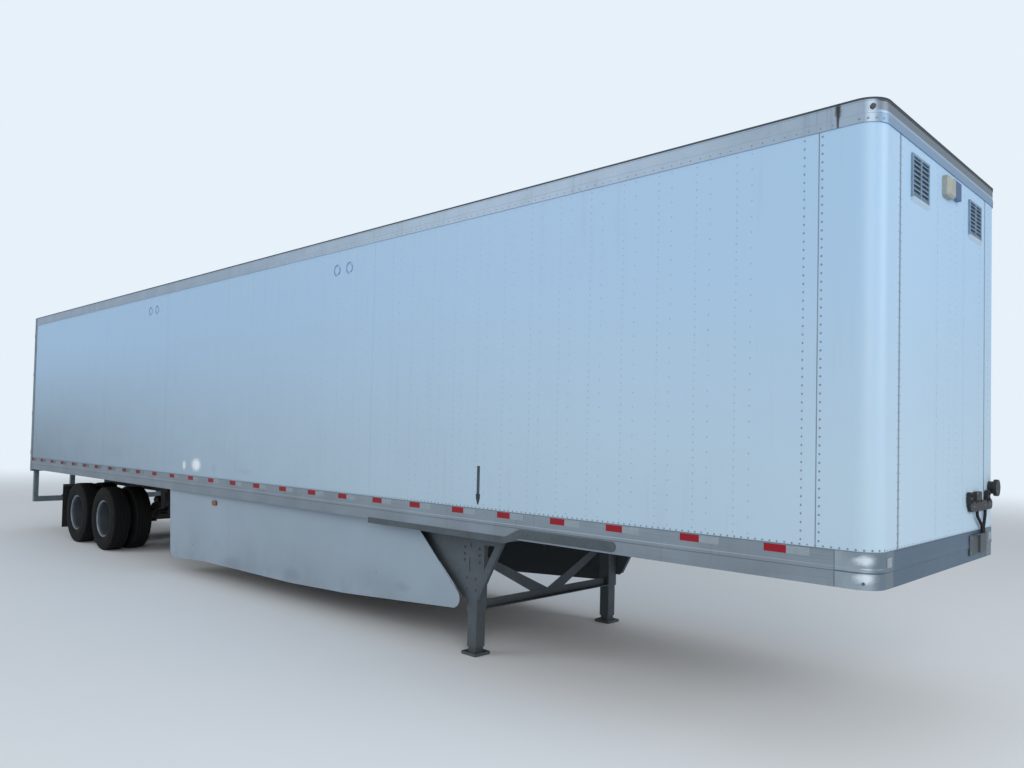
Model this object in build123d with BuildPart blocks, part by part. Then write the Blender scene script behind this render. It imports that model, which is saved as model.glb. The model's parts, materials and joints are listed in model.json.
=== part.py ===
"""Semi trailer: a 53 ft dry van on a sliding tandem, parked on its landing gear.

Millimetres. +X is forward, +Y is the road (left) side, +Z is up. The origin is on the ground,
on the centreline, under the middle of the overall length. A setback is the distance behind
the front face, a drop the distance below the roof, an inset the distance in from the side.
"""
from build123d import *
from math import cos, radians, sin
import os

os.makedirs("parts", exist_ok=True)

# Overall body
BODY_LENGTH = 16154
BODY_WIDTH = 2600
BODY_HEIGHT = 4115
NOSE_REACH = 60
TAIL_REACH = 75
CORNER_RADIUS = 150
FIT = 0.3
SWING_GAP = 6

HALF_WIDTH = BODY_WIDTH / 2
FRONT_X = (BODY_LENGTH + TAIL_REACH - NOSE_REACH) / 2
REAR_X = FRONT_X - BODY_LENGTH

# Bottom rail: flat top band, a bead, a lower band and a lip under the beams
RAIL_PROUD = 8
RAIL_SHEET = RAIL_PROUD - FIT
RAIL_BOTTOM = 1150
RAIL_HEIGHT = 220
RAIL_LIP = 50
LIP_THICK = 8
BEAD_LOW = 102
BEAD_HEIGHT = 20
BEAD_SLOPE = 6
LOW_BAND_INSET = 4
TOP_BAND_INSET = 2
RAIL_SEAM = CORNER_RADIUS + 112
CASTING_SPAN = 265

# Top rail: a cap lip, an upper band, a lower band, and a ledge under the roof
TOP_RAIL_HEIGHT = 150
CAP_HEIGHT = 20
CAP_STEP = 3
TOP_BAND_DROP = 98
LEDGE_THICK = 8
LEDGE_WIDTH = 70

# Walls, floor and roof
ROOF_THICK = 32
WALL_THICK = 42
FLOOR_THICK = 35
CROSSMEMBER_DEPTH = 97
SIDE_SEAM = CORNER_RADIUS + 231
FRONT_SEAM_INSET = CORNER_RADIUS + 198
FRAME_DEPTH = 100

SKIN_Y = HALF_WIDTH - RAIL_PROUD
SKIN_X = FRONT_X - RAIL_PROUD
INNER_Y = SKIN_Y - WALL_THICK
FRONT_SEAM = HALF_WIDTH - FRONT_SEAM_INSET
CASTING_END = HALF_WIDTH - CASTING_SPAN
BEAM_BOTTOM = RAIL_BOTTOM + LIP_THICK
FLOOR_BOTTOM = BEAM_BOTTOM + CROSSMEMBER_DEPTH
FLOOR_TOP = FLOOR_BOTTOM + FLOOR_THICK
ROOF_BOTTOM = BODY_HEIGHT - ROOF_THICK
WALL_TOP = ROOF_BOTTOM - LEDGE_THICK
TOP_RAIL_BOTTOM = BODY_HEIGHT - TOP_RAIL_HEIGHT
FRAME_FRONT = REAR_X + FRAME_DEPTH

# Side vents: setback of each pair's middle
VENT_PAIRS = (5570, 10484)
VENT_PITCH = 230
VENT_DROP = 355
VENT_RADIUS = 66
VENT_CAP_RADIUS = 40
VENT_DEPTH = 14

# Front wall vents: side, inset of the middle, width, height, drop of the top edge
LOUVRES = ((-1, 705, 330, 282, 218), (1, 638, 314, 266, 237))
LOUVRE_PROUD = 14
LOUVRE_FRAME = 14
LOUVRE_COUNT = 8
LOUVRE_SLAT = 4
LOUVRE_FALL = 0.6
LOUVRE_SILL = 30
LOUVRE_SILL_PROUD = 22
LOUVRE_SILL_EDGE = 5

# Beacon box on the front wall
BEACON_Y = -37
BEACON_DROP = 277
BEACON_WIDTH = 170
BEACON_HEIGHT = 144
BEACON_PROUD = 45
BEACON_ROUNDING = 20
BEACON_BEVEL = 14
BEACON_END_WIDTH = 176
BEACON_END_HEIGHT = 125
BEACON_END_DROP = 260
BEACON_END_PROUD = 30

# Coupler
KINGPIN_SETBACK = 914
COUPLER_LENGTH = 1880
COUPLER_PLATE = 8
CHANNEL_FLANGE = 60
CHANNEL_SHEET = 8
PIN_COLLAR_RADIUS = 36.5
PIN_COLLAR = 35
PIN_NECK_RADIUS = 25.4
PIN_NECK = 31.5
PIN_HEAD_RADIUS = 35.7
PIN_HEAD = 17.5

# Crossmembers
BEAM_START = 2010
BEAM_PITCH = 305
BEAM_FLANGE = 57
BEAM_WEB = 5
BEAM_FLANGE_THICK = 7
BEAM_COUNT = int((BODY_LENGTH - FRAME_DEPTH - BEAM_FLANGE - BEAM_START) // BEAM_PITCH) + 1
BEAM_SETBACKS = [BEAM_START + number * BEAM_PITCH for number in range(BEAM_COUNT)]

# Landing gear
LEG_SETBACK = 3700
LEG_INSET = 306
LEG_TUBE = 140
LEG_INNER = 118
LEG_INNER_TOP = 400
LEG_ROUNDING = 14
FOOT_WIDTH = 195
FOOT_PLATE = 14
FOOT_LIP = 26
FOOT_WALL = 14
ANKLE_HEIGHT = 70
WING_THICK = 6
BRACE_Z = 450
BRACE_LEG = 75
BRACE_THICK = 8
BRACE_FLAT = 80
BRACE_RISE = 455
BRACE_HEEL = 110
SHAFT_DROP = 149
SHAFT_RADIUS = 16
HOUSING_RADIUS = 52
HOUSING_DEPTH = 34
GEARBOX_LENGTH = 130
GEARBOX_HEIGHT = 170
GEARBOX_DEPTH = 58
CRANK_ROD = 11
CRANK_REACH = 150
CRANK_ARM = 330
CRANK_GRIP = 140

LEG_X = FRONT_X - LEG_SETBACK
LEG_Y = HALF_WIDTH - LEG_INSET
LEG_TOP = BEAM_BOTTOM
SHAFT_Z = BEAM_BOTTOM - SHAFT_DROP
WING_Y = LEG_Y + LEG_TUBE / 2
BRACE_END = LEG_Y - LEG_TUBE / 2

# Wing plate, as (ahead of the leg, below the beams)
WING_OUTLINE = ((-860, 0), (475, 0), (131, 623), (110, 643), (-115, 643), (-135, 623))
WING_CUT = ((159, 134), (299, 134), (164, 374))
WING_HOLE_RADIUS = 24
WING_SLOT_AHEAD = -20
WING_SLOT_DROP = 333
WING_SLOT_WIDTH = 22
WING_SLOT_HEIGHT = 130
WING_FLANGE = 40

# Guard plate outside each rail, by its place ahead of or behind the leg
GUARD_THICK = 5
GUARD_BEHIND = 1295
GUARD_KINK_AHEAD = 640
GUARD_KINK_LENGTH = 170
GUARD_AHEAD = 1800
GUARD_SAG = 42
GUARD_OVERLAP = 14
GUARD_STRIP = 78
GUARD_NOSE_RADIUS = 38

# Running gear, placed from the rear
REAR_AXLE_FROM_REAR = 2638
AXLE_SPREAD = 1245
WHEEL_INSET = 315
DUAL_SPACING = 343
TYRE_RADIUS = 510
BEAD_RADIUS = 286
TYRE_WIDTH = 280
HUB_BORE = 110
TYRE_SHAPE = ((0.75, 0), (0.95, 0.26), (1, 0.52), (0.89, 0.85), (0.66, 1))
RIM_SHEET = 10
RIM_SEAT = 107
RIM_HALF = 122.5
RIM_LIP = 16
RIM_DISH = 71
RIM_THROAT = 24
HUB_INBOARD = 190
HUB_OUTBOARD = 150
HUB_CAP_RADIUS = 66
HUB_CAP_LENGTH = 46
HUB_SHOULDER = 12
HUB_FLANGE_RADIUS = 178
HUB_BARREL_RADIUS = 100
DRUM_FACE = 30
DRUM_INBOARD = 205
DRUM_RADIUS = 212
DRUM_WALL = 16
STUD_CIRCLE = 142.875
STUD_COUNT = 10
STUD_RADIUS = 11
STUD_PLAY = 2.5
NUT_RADIUS = 19
NUT_HEIGHT = 24
HAND_HOLE_CIRCLE = 190
HAND_HOLE_RADIUS = 22
HAND_HOLE_COUNT = 5
SPINDLE_RADIUS = 40
SPINDLE_OUTBOARD = 60
AXLE_RADIUS = 63.5
TUBE_INBOARD = 196
SHIELD_INBOARD = 24
SHIELD_RADIUS = 204
SHIELD_THICK = 5
REAR_AXLE_SETBACK = BODY_LENGTH - REAR_AXLE_FROM_REAR
FRONT_AXLE_SETBACK = REAR_AXLE_SETBACK - AXLE_SPREAD
WHEEL_Y = HALF_WIDTH - WHEEL_INSET
TUBE_END = WHEEL_Y - TUBE_INBOARD
AXLES = (("front", FRONT_AXLE_SETBACK), ("rear", REAR_AXLE_SETBACK))
SIDES = (("left", 1), ("right", -1))

# Slide rails with their pin holes, and the bogie that hangs under them
SLIDE_Y = 510
SLIDE_LENGTH = 5800
SLIDE_FROM_REAR = 204
SLIDE_DEPTH = 95
SLIDE_FLANGE = 60
SLIDE_SHEET = 8
PIN_HOLE_PITCH = 152.4
PIN_HOLE_RADIUS = 20
PIN_HOLE_START = 150
LOCK_END = 230
LOCK_PIN_RADIUS = 16
LOCK_PIN_REACH = 22
LOCK_BLOCK = 56
LOCK_BLOCK_HEIGHT = 80
BOGIE_AHEAD = 790
BOGIE_BEHIND = 720
BOGIE_DEPTH = 100
BOGIE_WIDTH = 150
BOGIE_TUBE = 90
FLAP_BEHIND = 700
FLAP_WIDTH = 610
FLAP_BOTTOM = 190
FLAP_TOP = 960
FLAP_THICK = 10
FLAP_BAR = 40

SLIDE_REAR = BODY_LENGTH - SLIDE_FROM_REAR
SLIDE_FRONT = SLIDE_REAR - SLIDE_LENGTH
PIN_HOLE_COUNT = int((SLIDE_LENGTH - 2 * PIN_HOLE_START) // PIN_HOLE_PITCH) + 1
PIN_HOLES = [
    SLIDE_REAR - PIN_HOLE_START - number * PIN_HOLE_PITCH for number in range(PIN_HOLE_COUNT)
]
PIN_HOLE_Z = BEAM_BOTTOM - SLIDE_DEPTH / 2
BOGIE_FRONT = FRONT_AXLE_SETBACK - BOGIE_AHEAD
BOGIE_REAR = REAR_AXLE_SETBACK + BOGIE_BEHIND
BOGIE_TOP = BEAM_BOTTOM - SLIDE_DEPTH
BOGIE_BOTTOM = BOGIE_TOP - BOGIE_DEPTH
FLAP_SETBACK = REAR_AXLE_SETBACK + FLAP_BEHIND

# Suspension
SPRING_Y = 495
HANGER_REACH = 560
HANGER_BOTTOM = 690
HANGER_TOP_HALF = 90
HANGER_LOW_HALF = 50
HANGER_WIDTH = 110
HANGER_PLATE = 10
LEAF_WIDTH = 75
LEAF_THICK = 16
LEAF_COUNT = 3
LEAF_STEP = 150
SPRING_REACH = 545
SPRING_RISE = 62
SEAT_HEIGHT = 40
SEAT_LENGTH = 110
SEAT_WIDTH = 90
EQUALISER_REACH = 150
EQUALISER_WIDTH = 84
EQUALISER_HEIGHT = 92
EQUALISER_CROWN = 45
EQUALISER_TIP = 28
PIVOT_RADIUS = 20
PIVOT_RISE = 50
PIVOT_EDGE = 34
CLAMP_LENGTH = 176
CLAMP_WIDTH = 114
CLAMP_PLATE = 18
CLAMP_ROD = 9
CLAMP_ROD_X = 77
CLAMP_ROD_Y = 48
TONGUE_THICK = 20
TONGUE_LENGTH = 80
TONGUE_HEIGHT = 160
ROD_EYE_RADIUS = 30
ROD_EYE_WIDTH = 44
ROD_BAR_RADIUS = 18
ROD_EYE_Z = 622
ROD_END_AHEAD = 105
ROD_END_Z = 600
LUG_THICK = 12

SEAT_TOP = TYRE_RADIUS + AXLE_RADIUS + SEAT_HEIGHT
ARCH_RADIUS = (SPRING_REACH**2 + SPRING_RISE**2) / (2 * SPRING_RISE)
LEAF_END_TOP = SEAT_TOP + LEAF_COUNT * LEAF_THICK + SPRING_RISE
CLAMP_LOW = TYRE_RADIUS - AXLE_RADIUS - FIT - CLAMP_PLATE
PIVOT_Z = LEAF_END_TOP + FIT + PIVOT_RISE

# Brakes on each axle; the chamber's steps are (radius, length)
CAM_BACK = 115
CAM_TUBE_RADIUS = 19
SLACK_Y = 268
SLACK_THICK = 18
SLACK_WIDTH = 44
BRAKE_LIFT = 130
CHAMBER_FRONT = 205
CHAMBER_STEPS = ((72, 95), (80, 14), (72, 80), (58, 26))
PUSHROD_RADIUS = 10
BRACKET_THICK = 14
BRACKET_HALF = 60
BRACKET_ARM = 60

# Air tank between the bogie rails
TANK_RADIUS = 120
TANK_BACK = 430
TANK_DOME = 34

# Skirts
SKIRT_THICK = 8
SKIRT_REAR_AHEAD = 2443
SKIRT_FRONT = 3655
SKIRT_REAR_INSET = 60
SKIRT_FRONT_INSET = 162
SKIRT_SLANT = 785
SKIRT_REAR_CORNER = (75, 185)
SKIRT_BELLY = ((1000, 245), (3200, 258), (4300, 300))
SKIRT_TIP_Z = 430
SKIRT_REAR_ROUNDING = 125
SKIRT_TIP_ROUNDING = 92
STRUT_MARGIN = 1000
STRUT_STEP = 4
STRUT_WIDTH = 50
STRUT_THICK = 6
STRUT_FOOT = 620
STRUT_TAB = 60
STRUT_SPREAD = 330
SKIRT_REAR = FRONT_AXLE_SETBACK - SKIRT_REAR_AHEAD
SKIRT_REAR_Y = HALF_WIDTH - SKIRT_REAR_INSET
SKIRT_FRONT_Y = HALF_WIDTH - SKIRT_FRONT_INSET
SKIRT_TOP = BEAM_BOTTOM - FIT
STRUT_SETBACKS = [
    setback
    for setback in BEAM_SETBACKS
    if SKIRT_FRONT + STRUT_MARGIN < setback < SKIRT_REAR - STRUT_WIDTH
][::STRUT_STEP]

# Rear frame and doors
POST_WIDTH = 75
HEADER_HEIGHT = 150
SILL_DROP = 40
STOP_WIDTH = 18
DOOR_THICK = 45
DOOR_MEETING = 5
HINGE_COUNT = 4
HINGE_END = 190
HINGE_BACK = 40
HINGE_INSET = 20
HINGE_KNUCKLE = 42
HINGE_EAR = 16
HINGE_PLAY = 2
HINGE_RADIUS = 14
HINGE_PIN_RADIUS = 6
PIN_PLAY = 0.05
STRAP_LENGTH = 190
STRAP_THICK = 12
ROD_Y = 330
ROD_RADIUS = 13.5
ROD_BACK = 35
ROD_OVERRUN = 40
CAM_HALF = 28
CAM_HEIGHT = 26
CAM_DEPTH = 43
CAM_AHEAD = 6
KEEPER_GAP = 9
KEEPER_THICK = 12
KEEPER_HEIGHT = 44
KEEPER_REACH = 48
GUIDE_COUNT = 5
GUIDE_END = 230
GUIDE_HEIGHT = 40
GUIDE_WIDTH = 40
GUIDE_WALL = 3
GUIDE_PAD = 95
GUIDE_PAD_THICK = 5
HANDLE_RISE = 410
HANDLE_LENGTH = 330
HANDLE_HEIGHT = 34
HANDLE_OVERHANG = 20
CATCH_WIDTH = 50
CATCH_HEIGHT = 60
CATCH_SETBACK = 60

POST_INNER = HALF_WIDTH - POST_WIDTH
OPENING_TOP = BODY_HEIGHT - HEADER_HEIGHT
SILL_BOTTOM = RAIL_BOTTOM - SILL_DROP
SILL_TOP = FLOOR_TOP
STOP_X = REAR_X + DOOR_THICK + SWING_GAP
HINGE_PIN_X = REAR_X - HINGE_BACK
HINGE_PIN_Y = HALF_WIDTH - HINGE_INSET
HINGE_SPACING = (OPENING_TOP - SILL_TOP - 2 * HINGE_END) / (HINGE_COUNT - 1)
HINGE_HEIGHTS = [SILL_TOP + HINGE_END + number * HINGE_SPACING for number in range(HINGE_COUNT)]
DOOR_BOTTOM = SILL_TOP + SWING_GAP
DOOR_TOP = OPENING_TOP - SWING_GAP
DOOR_OUTER = POST_INNER - SWING_GAP
ROD_X = REAR_X - ROD_BACK
ROD_BOTTOM = SILL_TOP - ROD_OVERRUN
ROD_TOP = OPENING_TOP + ROD_OVERRUN
GUIDE_SPACING = (OPENING_TOP - SILL_TOP - 2 * GUIDE_END) / (GUIDE_COUNT - 1)
GUIDE_HEIGHTS = [SILL_TOP + GUIDE_END + number * GUIDE_SPACING for number in range(GUIDE_COUNT)]
HANDLE_Z = SILL_TOP + HANDLE_RISE

# Rear impact guard and dock bumpers
GUARD_BAR_Z = 560
GUARD_BAR = 100
GUARD_BAR_INSET = 60
GUARD_BAR_AHEAD = 10
GUARD_POST_Y = 540
GUARD_END_POST_Y = 1200
GUARD_POST = 80
GUSSET = 160
GUSSET_THICK = 8
BUMPER_INSET = 170
BUMPER_WIDTH = 240
BUMPER_HEIGHT = 140
BUMPER_RISE = 15
BUMPER_ROUNDING = 20

# Lamps
LAMP_THICK = 14
SILL_LAMP_INSETS = (450, 610)
SILL_LAMP_RADIUS = 55
SILL_LAMP_RISE = 90
HEADER_LAMP_WIDTH = 110
HEADER_LAMP_HEIGHT = 36
HEADER_LAMP_DROP = 60
HEADER_LAMP_PITCH = 150
HEADER_LAMP_INSET = 120
CORNER_LAMP_ANGLE = 36
CORNER_LAMP_RADIUS = 16
CORNER_LAMP_THICK = 12
CORNER_LAMP_DROP = 58
SIDE_LAMP_SETBACK = 8487
SIDE_LAMP_Z = 1043
SIDE_LAMP_WIDTH = 110
SIDE_LAMP_HEIGHT = 62
SIDE_LAMP_THICK = 20

# Nose fittings, by their distance from the middle of the panel
NOSE_INSET = 483
NOSE_PANEL_Z = 1562
NOSE_PANEL_WIDTH = 595
NOSE_PANEL_HEIGHT = 76
NOSE_PANEL_PROUD = 26
NOSE_BOX_OFFSET = -87
NOSE_BOX_Z = 1627
NOSE_BOX_WIDTH = 139
NOSE_BOX_HEIGHT = 90
NOSE_BOX_PROUD = 30
COUPLING_OFFSETS = (-297, 177)
COUPLING_Z = 1627
COUPLING_WIDTH = 60
COUPLING_HEIGHT = 94
COUPLING_ROUNDING = 24
COUPLING_BACK = 6
COUPLING_PROUD = 32
COUPLING_STEM = 34
SOCKET_OFFSET = 293
SOCKET_Z = 1690
SOCKET_RADIUS = 66
SOCKET_BODY_RADIUS = 50
SOCKET_LID_THICK = 28
HOSE_RADIUS = 11
HOSE_OUT = 22
HOSE_ROUTES = ((-117, 25), (103, 60))
HOSE_TURN_HIGH = 1490
HOSE_TURN_LOW = 1400
HOSE_BEND = 45
BRACKET_PLATE_THICK = 6
BRACKET_PLATE_WIDTH = 450
BRACKET_PLATE_HEIGHT = 150
BRACKET_PLATE_OFFSET = -47
BRACKET_PLATE_Z = 1270
BRACKET_BOX_OFFSET = 38
BRACKET_BOX_WIDTH = 166
BRACKET_BOX_HEIGHT = 140
BRACKET_BOX_PROUD = 20
BRACKET_SHELF = 34
BRACKET_SHELF_WIDTH = 250
BRACKET_SHELF_THICK = 6

NOSE_Y = HALF_WIDTH - NOSE_INSET
SHELF_TOP = BRACKET_PLATE_Z + BRACKET_PLATE_HEIGHT / 2 + BRACKET_SHELF_THICK


def back(distance):
    """X of a place that lies the given distance behind the front face."""
    return FRONT_X - distance


def bottom_section():
    """Section of the bottom rail, as (outward from the body's face, height)."""
    bead = RAIL_BOTTOM + BEAD_LOW
    with BuildSketch() as section:
        with BuildLine():
            Polyline(
                (-LOW_BAND_INSET, RAIL_BOTTOM),
                (-LOW_BAND_INSET, bead - BEAD_SLOPE),
                (0, bead),
                (0, bead + BEAD_HEIGHT),
                (-TOP_BAND_INSET, bead + BEAD_HEIGHT + BEAD_SLOPE),
                (-TOP_BAND_INSET, RAIL_BOTTOM + RAIL_HEIGHT),
                (-RAIL_SHEET, RAIL_BOTTOM + RAIL_HEIGHT),
                (-RAIL_SHEET, RAIL_BOTTOM + LIP_THICK),
                (-RAIL_LIP, RAIL_BOTTOM + LIP_THICK),
                (-RAIL_LIP, RAIL_BOTTOM),
                close=True,
            )
        make_face()
    return section.sketch


def top_section():
    """Section of the top rail, as (outward from the body's face, height)."""
    with BuildSketch() as section:
        with BuildLine():
            Polyline(
                (0, TOP_RAIL_BOTTOM),
                (0, BODY_HEIGHT - TOP_BAND_DROP),
                (-CAP_STEP, BODY_HEIGHT - TOP_BAND_DROP + CAP_STEP),
                (-CAP_STEP, BODY_HEIGHT - CAP_HEIGHT),
                (0, BODY_HEIGHT - CAP_HEIGHT),
                (0, BODY_HEIGHT),
                (-RAIL_SHEET, BODY_HEIGHT),
                (-RAIL_SHEET, ROOF_BOTTOM),
                (-LEDGE_WIDTH, ROOF_BOTTOM),
                (-LEDGE_WIDTH, WALL_TOP),
                (-RAIL_SHEET, WALL_TOP),
                (-RAIL_SHEET, TOP_RAIL_BOTTOM),
                close=True,
            )
        make_face()
    return section.sketch


def side_plane(x):
    """Plane across the left side at the given X, outward first and then up."""
    return Plane(origin=(x, HALF_WIDTH, 0), x_dir=(0, 1, 0), z_dir=(1, 0, 0))


def corner_strip(inset, thick, side_end, front_end):
    """Plan of a strip round the left front corner, from the side to the front."""
    with BuildSketch() as strip:
        with BuildLine():
            outside = FilletPolyline(
                (side_end, HALF_WIDTH - inset),
                (FRONT_X - inset, HALF_WIDTH - inset),
                (FRONT_X - inset, front_end),
                radius=CORNER_RADIUS - inset,
            )
            inside = FilletPolyline(
                (side_end, HALF_WIDTH - inset - thick),
                (FRONT_X - inset - thick, HALF_WIDTH - inset - thick),
                (FRONT_X - inset - thick, front_end),
                radius=CORNER_RADIUS - inset - thick,
            )
            Line(outside @ 0, inside @ 0)
            Line(outside @ 1, inside @ 1)
        make_face()
    return strip.sketch


def deck_plan(inset, rear_end):
    """Plan of a deck with both front corners rounded."""
    length = FRONT_X - inset - rear_end
    with BuildSketch() as deck:
        with Locations((rear_end + length / 2, 0)):
            Rectangle(length, 2 * (HALF_WIDTH - inset))
        fillet(deck.vertices().group_by(Axis.X)[-1], radius=CORNER_RADIUS - inset)
    return deck.sketch


def mirrored(piece):
    """The same piece on the other side of the trailer."""
    with BuildPart() as other:
        mirror(piece.part, about=Plane.XZ)
    return other


# Floor, between the walls
with BuildPart() as floor:
    with BuildSketch(Plane.XY.offset(FLOOR_BOTTOM)):
        add(deck_plan(RAIL_PROUD + WALL_THICK + FIT, FRAME_FRONT))
    extrude(amount=FLOOR_THICK)
floor.part.label = "floor"
export_step(floor.part, "parts/floor.step")

# Roof
with BuildPart() as roof:
    with BuildSketch(Plane.XY.offset(ROOF_BOTTOM)):
        add(deck_plan(RAIL_PROUD, FRAME_FRONT))
    extrude(amount=ROOF_THICK)
roof.part.label = "roof"
export_step(roof.part, "parts/roof.step")

# Side walls with round vents near the top
with BuildPart() as side_wall_left:
    with BuildSketch(Plane.XY.offset(FLOOR_BOTTOM)):
        with Locations(((FRAME_FRONT + back(SIDE_SEAM)) / 2, SKIN_Y - WALL_THICK / 2)):
            Rectangle(back(SIDE_SEAM) - FRAME_FRONT, WALL_THICK)
    extrude(amount=WALL_TOP - FLOOR_BOTTOM)
    vent_places = [
        (back(pair + sign * VENT_PITCH / 2), BODY_HEIGHT - VENT_DROP)
        for pair in VENT_PAIRS
        for sign in (-1, 1)
    ]
    with BuildSketch(Plane.XZ.offset(-SKIN_Y)):
        with Locations(*vent_places):
            Circle(VENT_RADIUS)
            Circle(VENT_CAP_RADIUS, mode=Mode.SUBTRACT)
    extrude(amount=VENT_DEPTH, mode=Mode.SUBTRACT)
side_wall_left.part.label = "side_wall_left"
export_step(side_wall_left.part, "parts/side_wall_left.step")
side_wall_right = mirrored(side_wall_left)
side_wall_right.part.label = "side_wall_right"
export_step(side_wall_right.part, "parts/side_wall_right.step")

# Rounded front corner panels
with BuildPart() as corner_panels:
    with BuildSketch(Plane.XY.offset(FLOOR_BOTTOM)):
        add(corner_strip(RAIL_PROUD, WALL_THICK, back(SIDE_SEAM), FRONT_SEAM))
    extrude(amount=WALL_TOP - FLOOR_BOTTOM)
    mirror(about=Plane.XZ)
corner_panels.part.label = "corner_panels"
export_step(corner_panels.part, "parts/corner_panels.step")

# Front wall, cut for its two vents
with BuildPart() as front_wall:
    with BuildSketch(Plane.XY.offset(FLOOR_BOTTOM)):
        with Locations((SKIN_X - WALL_THICK / 2, 0)):
            Rectangle(WALL_THICK, 2 * FRONT_SEAM)
    extrude(amount=WALL_TOP - FLOOR_BOTTOM)
    with BuildSketch(Plane.YZ.offset(SKIN_X)):
        for sign, inset, width, height, drop in LOUVRES:
            with Locations((sign * (HALF_WIDTH - inset), BODY_HEIGHT - drop - height / 2)):
                Rectangle(width - 2 * LOUVRE_FRAME, height - 2 * LOUVRE_FRAME)
    extrude(amount=-WALL_THICK, mode=Mode.SUBTRACT)
front_wall.part.label = "front_wall"
export_step(front_wall.part, "parts/front_wall.step")

# Louvred covers of the front vents, each with a sill below
with BuildPart() as front_vents:
    for sign, inset, width, height, drop in LOUVRES:
        middle = sign * (HALF_WIDTH - inset)
        high = BODY_HEIGHT - drop
        low = high - height
        pane_width = (width - 3 * LOUVRE_FRAME) / 2
        with BuildSketch(Plane.YZ.offset(SKIN_X)):
            with Locations((middle, high - height / 2)):
                Rectangle(width, height)
                with GridLocations(pane_width + LOUVRE_FRAME, 1, 2, 1):
                    Rectangle(pane_width, height - 2 * LOUVRE_FRAME, mode=Mode.SUBTRACT)
        extrude(amount=LOUVRE_PROUD)
        pitch = (height - 2 * LOUVRE_FRAME) / LOUVRE_COUNT
        fall = LOUVRE_FALL * pitch
        with BuildSketch(Plane.XZ.offset(-(middle - width / 2 + LOUVRE_FRAME))):
            for row in range(LOUVRE_COUNT):
                top = high - LOUVRE_FRAME - row * pitch - LOUVRE_SLAT
                with BuildLine():
                    Polyline(
                        (SKIN_X, top),
                        (SKIN_X + LOUVRE_PROUD, top - fall),
                        (SKIN_X + LOUVRE_PROUD, top - fall - LOUVRE_SLAT),
                        (SKIN_X, top - LOUVRE_SLAT),
                        close=True,
                    )
                make_face()
        extrude(amount=-(width - 2 * LOUVRE_FRAME))
        with BuildSketch(Plane.XZ.offset(-(middle - width / 2))):
            with BuildLine():
                Polyline(
                    (SKIN_X, low),
                    (SKIN_X + LOUVRE_PROUD, low),
                    (SKIN_X + LOUVRE_SILL_PROUD, low - LOUVRE_SILL_EDGE),
                    (SKIN_X + LOUVRE_SILL_PROUD, low - 2 * LOUVRE_SILL_EDGE),
                    (SKIN_X, low - LOUVRE_SILL),
                    close=True,
                )
            make_face()
        extrude(amount=-width)
front_vents.part.label = "front_vents"
export_step(front_vents.part, "parts/front_vents.step")

# Bottom rails along the sides
with BuildPart() as bottom_rails:
    with BuildSketch(side_plane(FRAME_FRONT)):
        add(bottom_section())
    extrude(amount=back(RAIL_SEAM) - FRAME_FRONT)
    mirror(about=Plane.XZ)
bottom_rails.part.label = "bottom_rails"
export_step(bottom_rails.part, "parts/bottom_rails.step")

# Bottom rail across the front
with BuildPart() as front_rail:
    with BuildSketch(Plane(origin=(FRONT_X, CASTING_END, 0), x_dir=(1, 0, 0), z_dir=(0, -1, 0))):
        add(bottom_section())
    extrude(amount=2 * CASTING_END)
front_rail.part.label = "front_rail"
export_step(front_rail.part, "parts/front_rail.step")

# Cast corner pieces between the rails
with BuildPart() as corner_castings:
    with BuildLine():
        FilletPolyline(
            (back(RAIL_SEAM), HALF_WIDTH),
            (FRONT_X, HALF_WIDTH),
            (FRONT_X, CASTING_END),
            radius=CORNER_RADIUS,
        )
    with BuildSketch(side_plane(back(RAIL_SEAM))):
        add(bottom_section())
    sweep()
    mirror(about=Plane.XZ)
corner_castings.part.label = "corner_castings"
export_step(corner_castings.part, "parts/corner_castings.step")

# Top rails along the sides
with BuildPart() as top_rails:
    with BuildSketch(side_plane(FRAME_FRONT)):
        add(top_section())
    extrude(amount=back(RAIL_SEAM) - FRAME_FRONT)
    mirror(about=Plane.XZ)
top_rails.part.label = "top_rails"
export_step(top_rails.part, "parts/top_rails.step")

# Top rail round the front, corners and all
with BuildPart() as top_rail_front:
    with BuildLine():
        FilletPolyline(
            (back(RAIL_SEAM), HALF_WIDTH),
            (FRONT_X, HALF_WIDTH),
            (FRONT_X, -HALF_WIDTH),
            (back(RAIL_SEAM), -HALF_WIDTH),
            radius=CORNER_RADIUS,
        )
    with BuildSketch(side_plane(back(RAIL_SEAM))):
        add(top_section())
    sweep()
top_rail_front.part.label = "top_rail_front"
export_step(top_rail_front.part, "parts/top_rail_front.step")

# Crossmembers under the floor, one rolled beam each
with BuildPart() as crossmembers:
    with BuildSketch(Plane.XZ.offset(-SKIN_Y)):
        for setback in BEAM_SETBACKS:
            with Locations((back(setback), BEAM_BOTTOM)):
                Rectangle(BEAM_FLANGE, BEAM_FLANGE_THICK, align=(Align.CENTER, Align.MIN))
                Rectangle(BEAM_WEB, CROSSMEMBER_DEPTH, align=(Align.CENTER, Align.MIN))
            with Locations((back(setback), FLOOR_BOTTOM)):
                Rectangle(BEAM_FLANGE, BEAM_FLANGE_THICK, align=(Align.CENTER, Align.MAX))
    extrude(amount=2 * SKIN_Y)
crossmembers.part.label = "crossmembers"
export_step(crossmembers.part, "parts/crossmembers.step")

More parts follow.
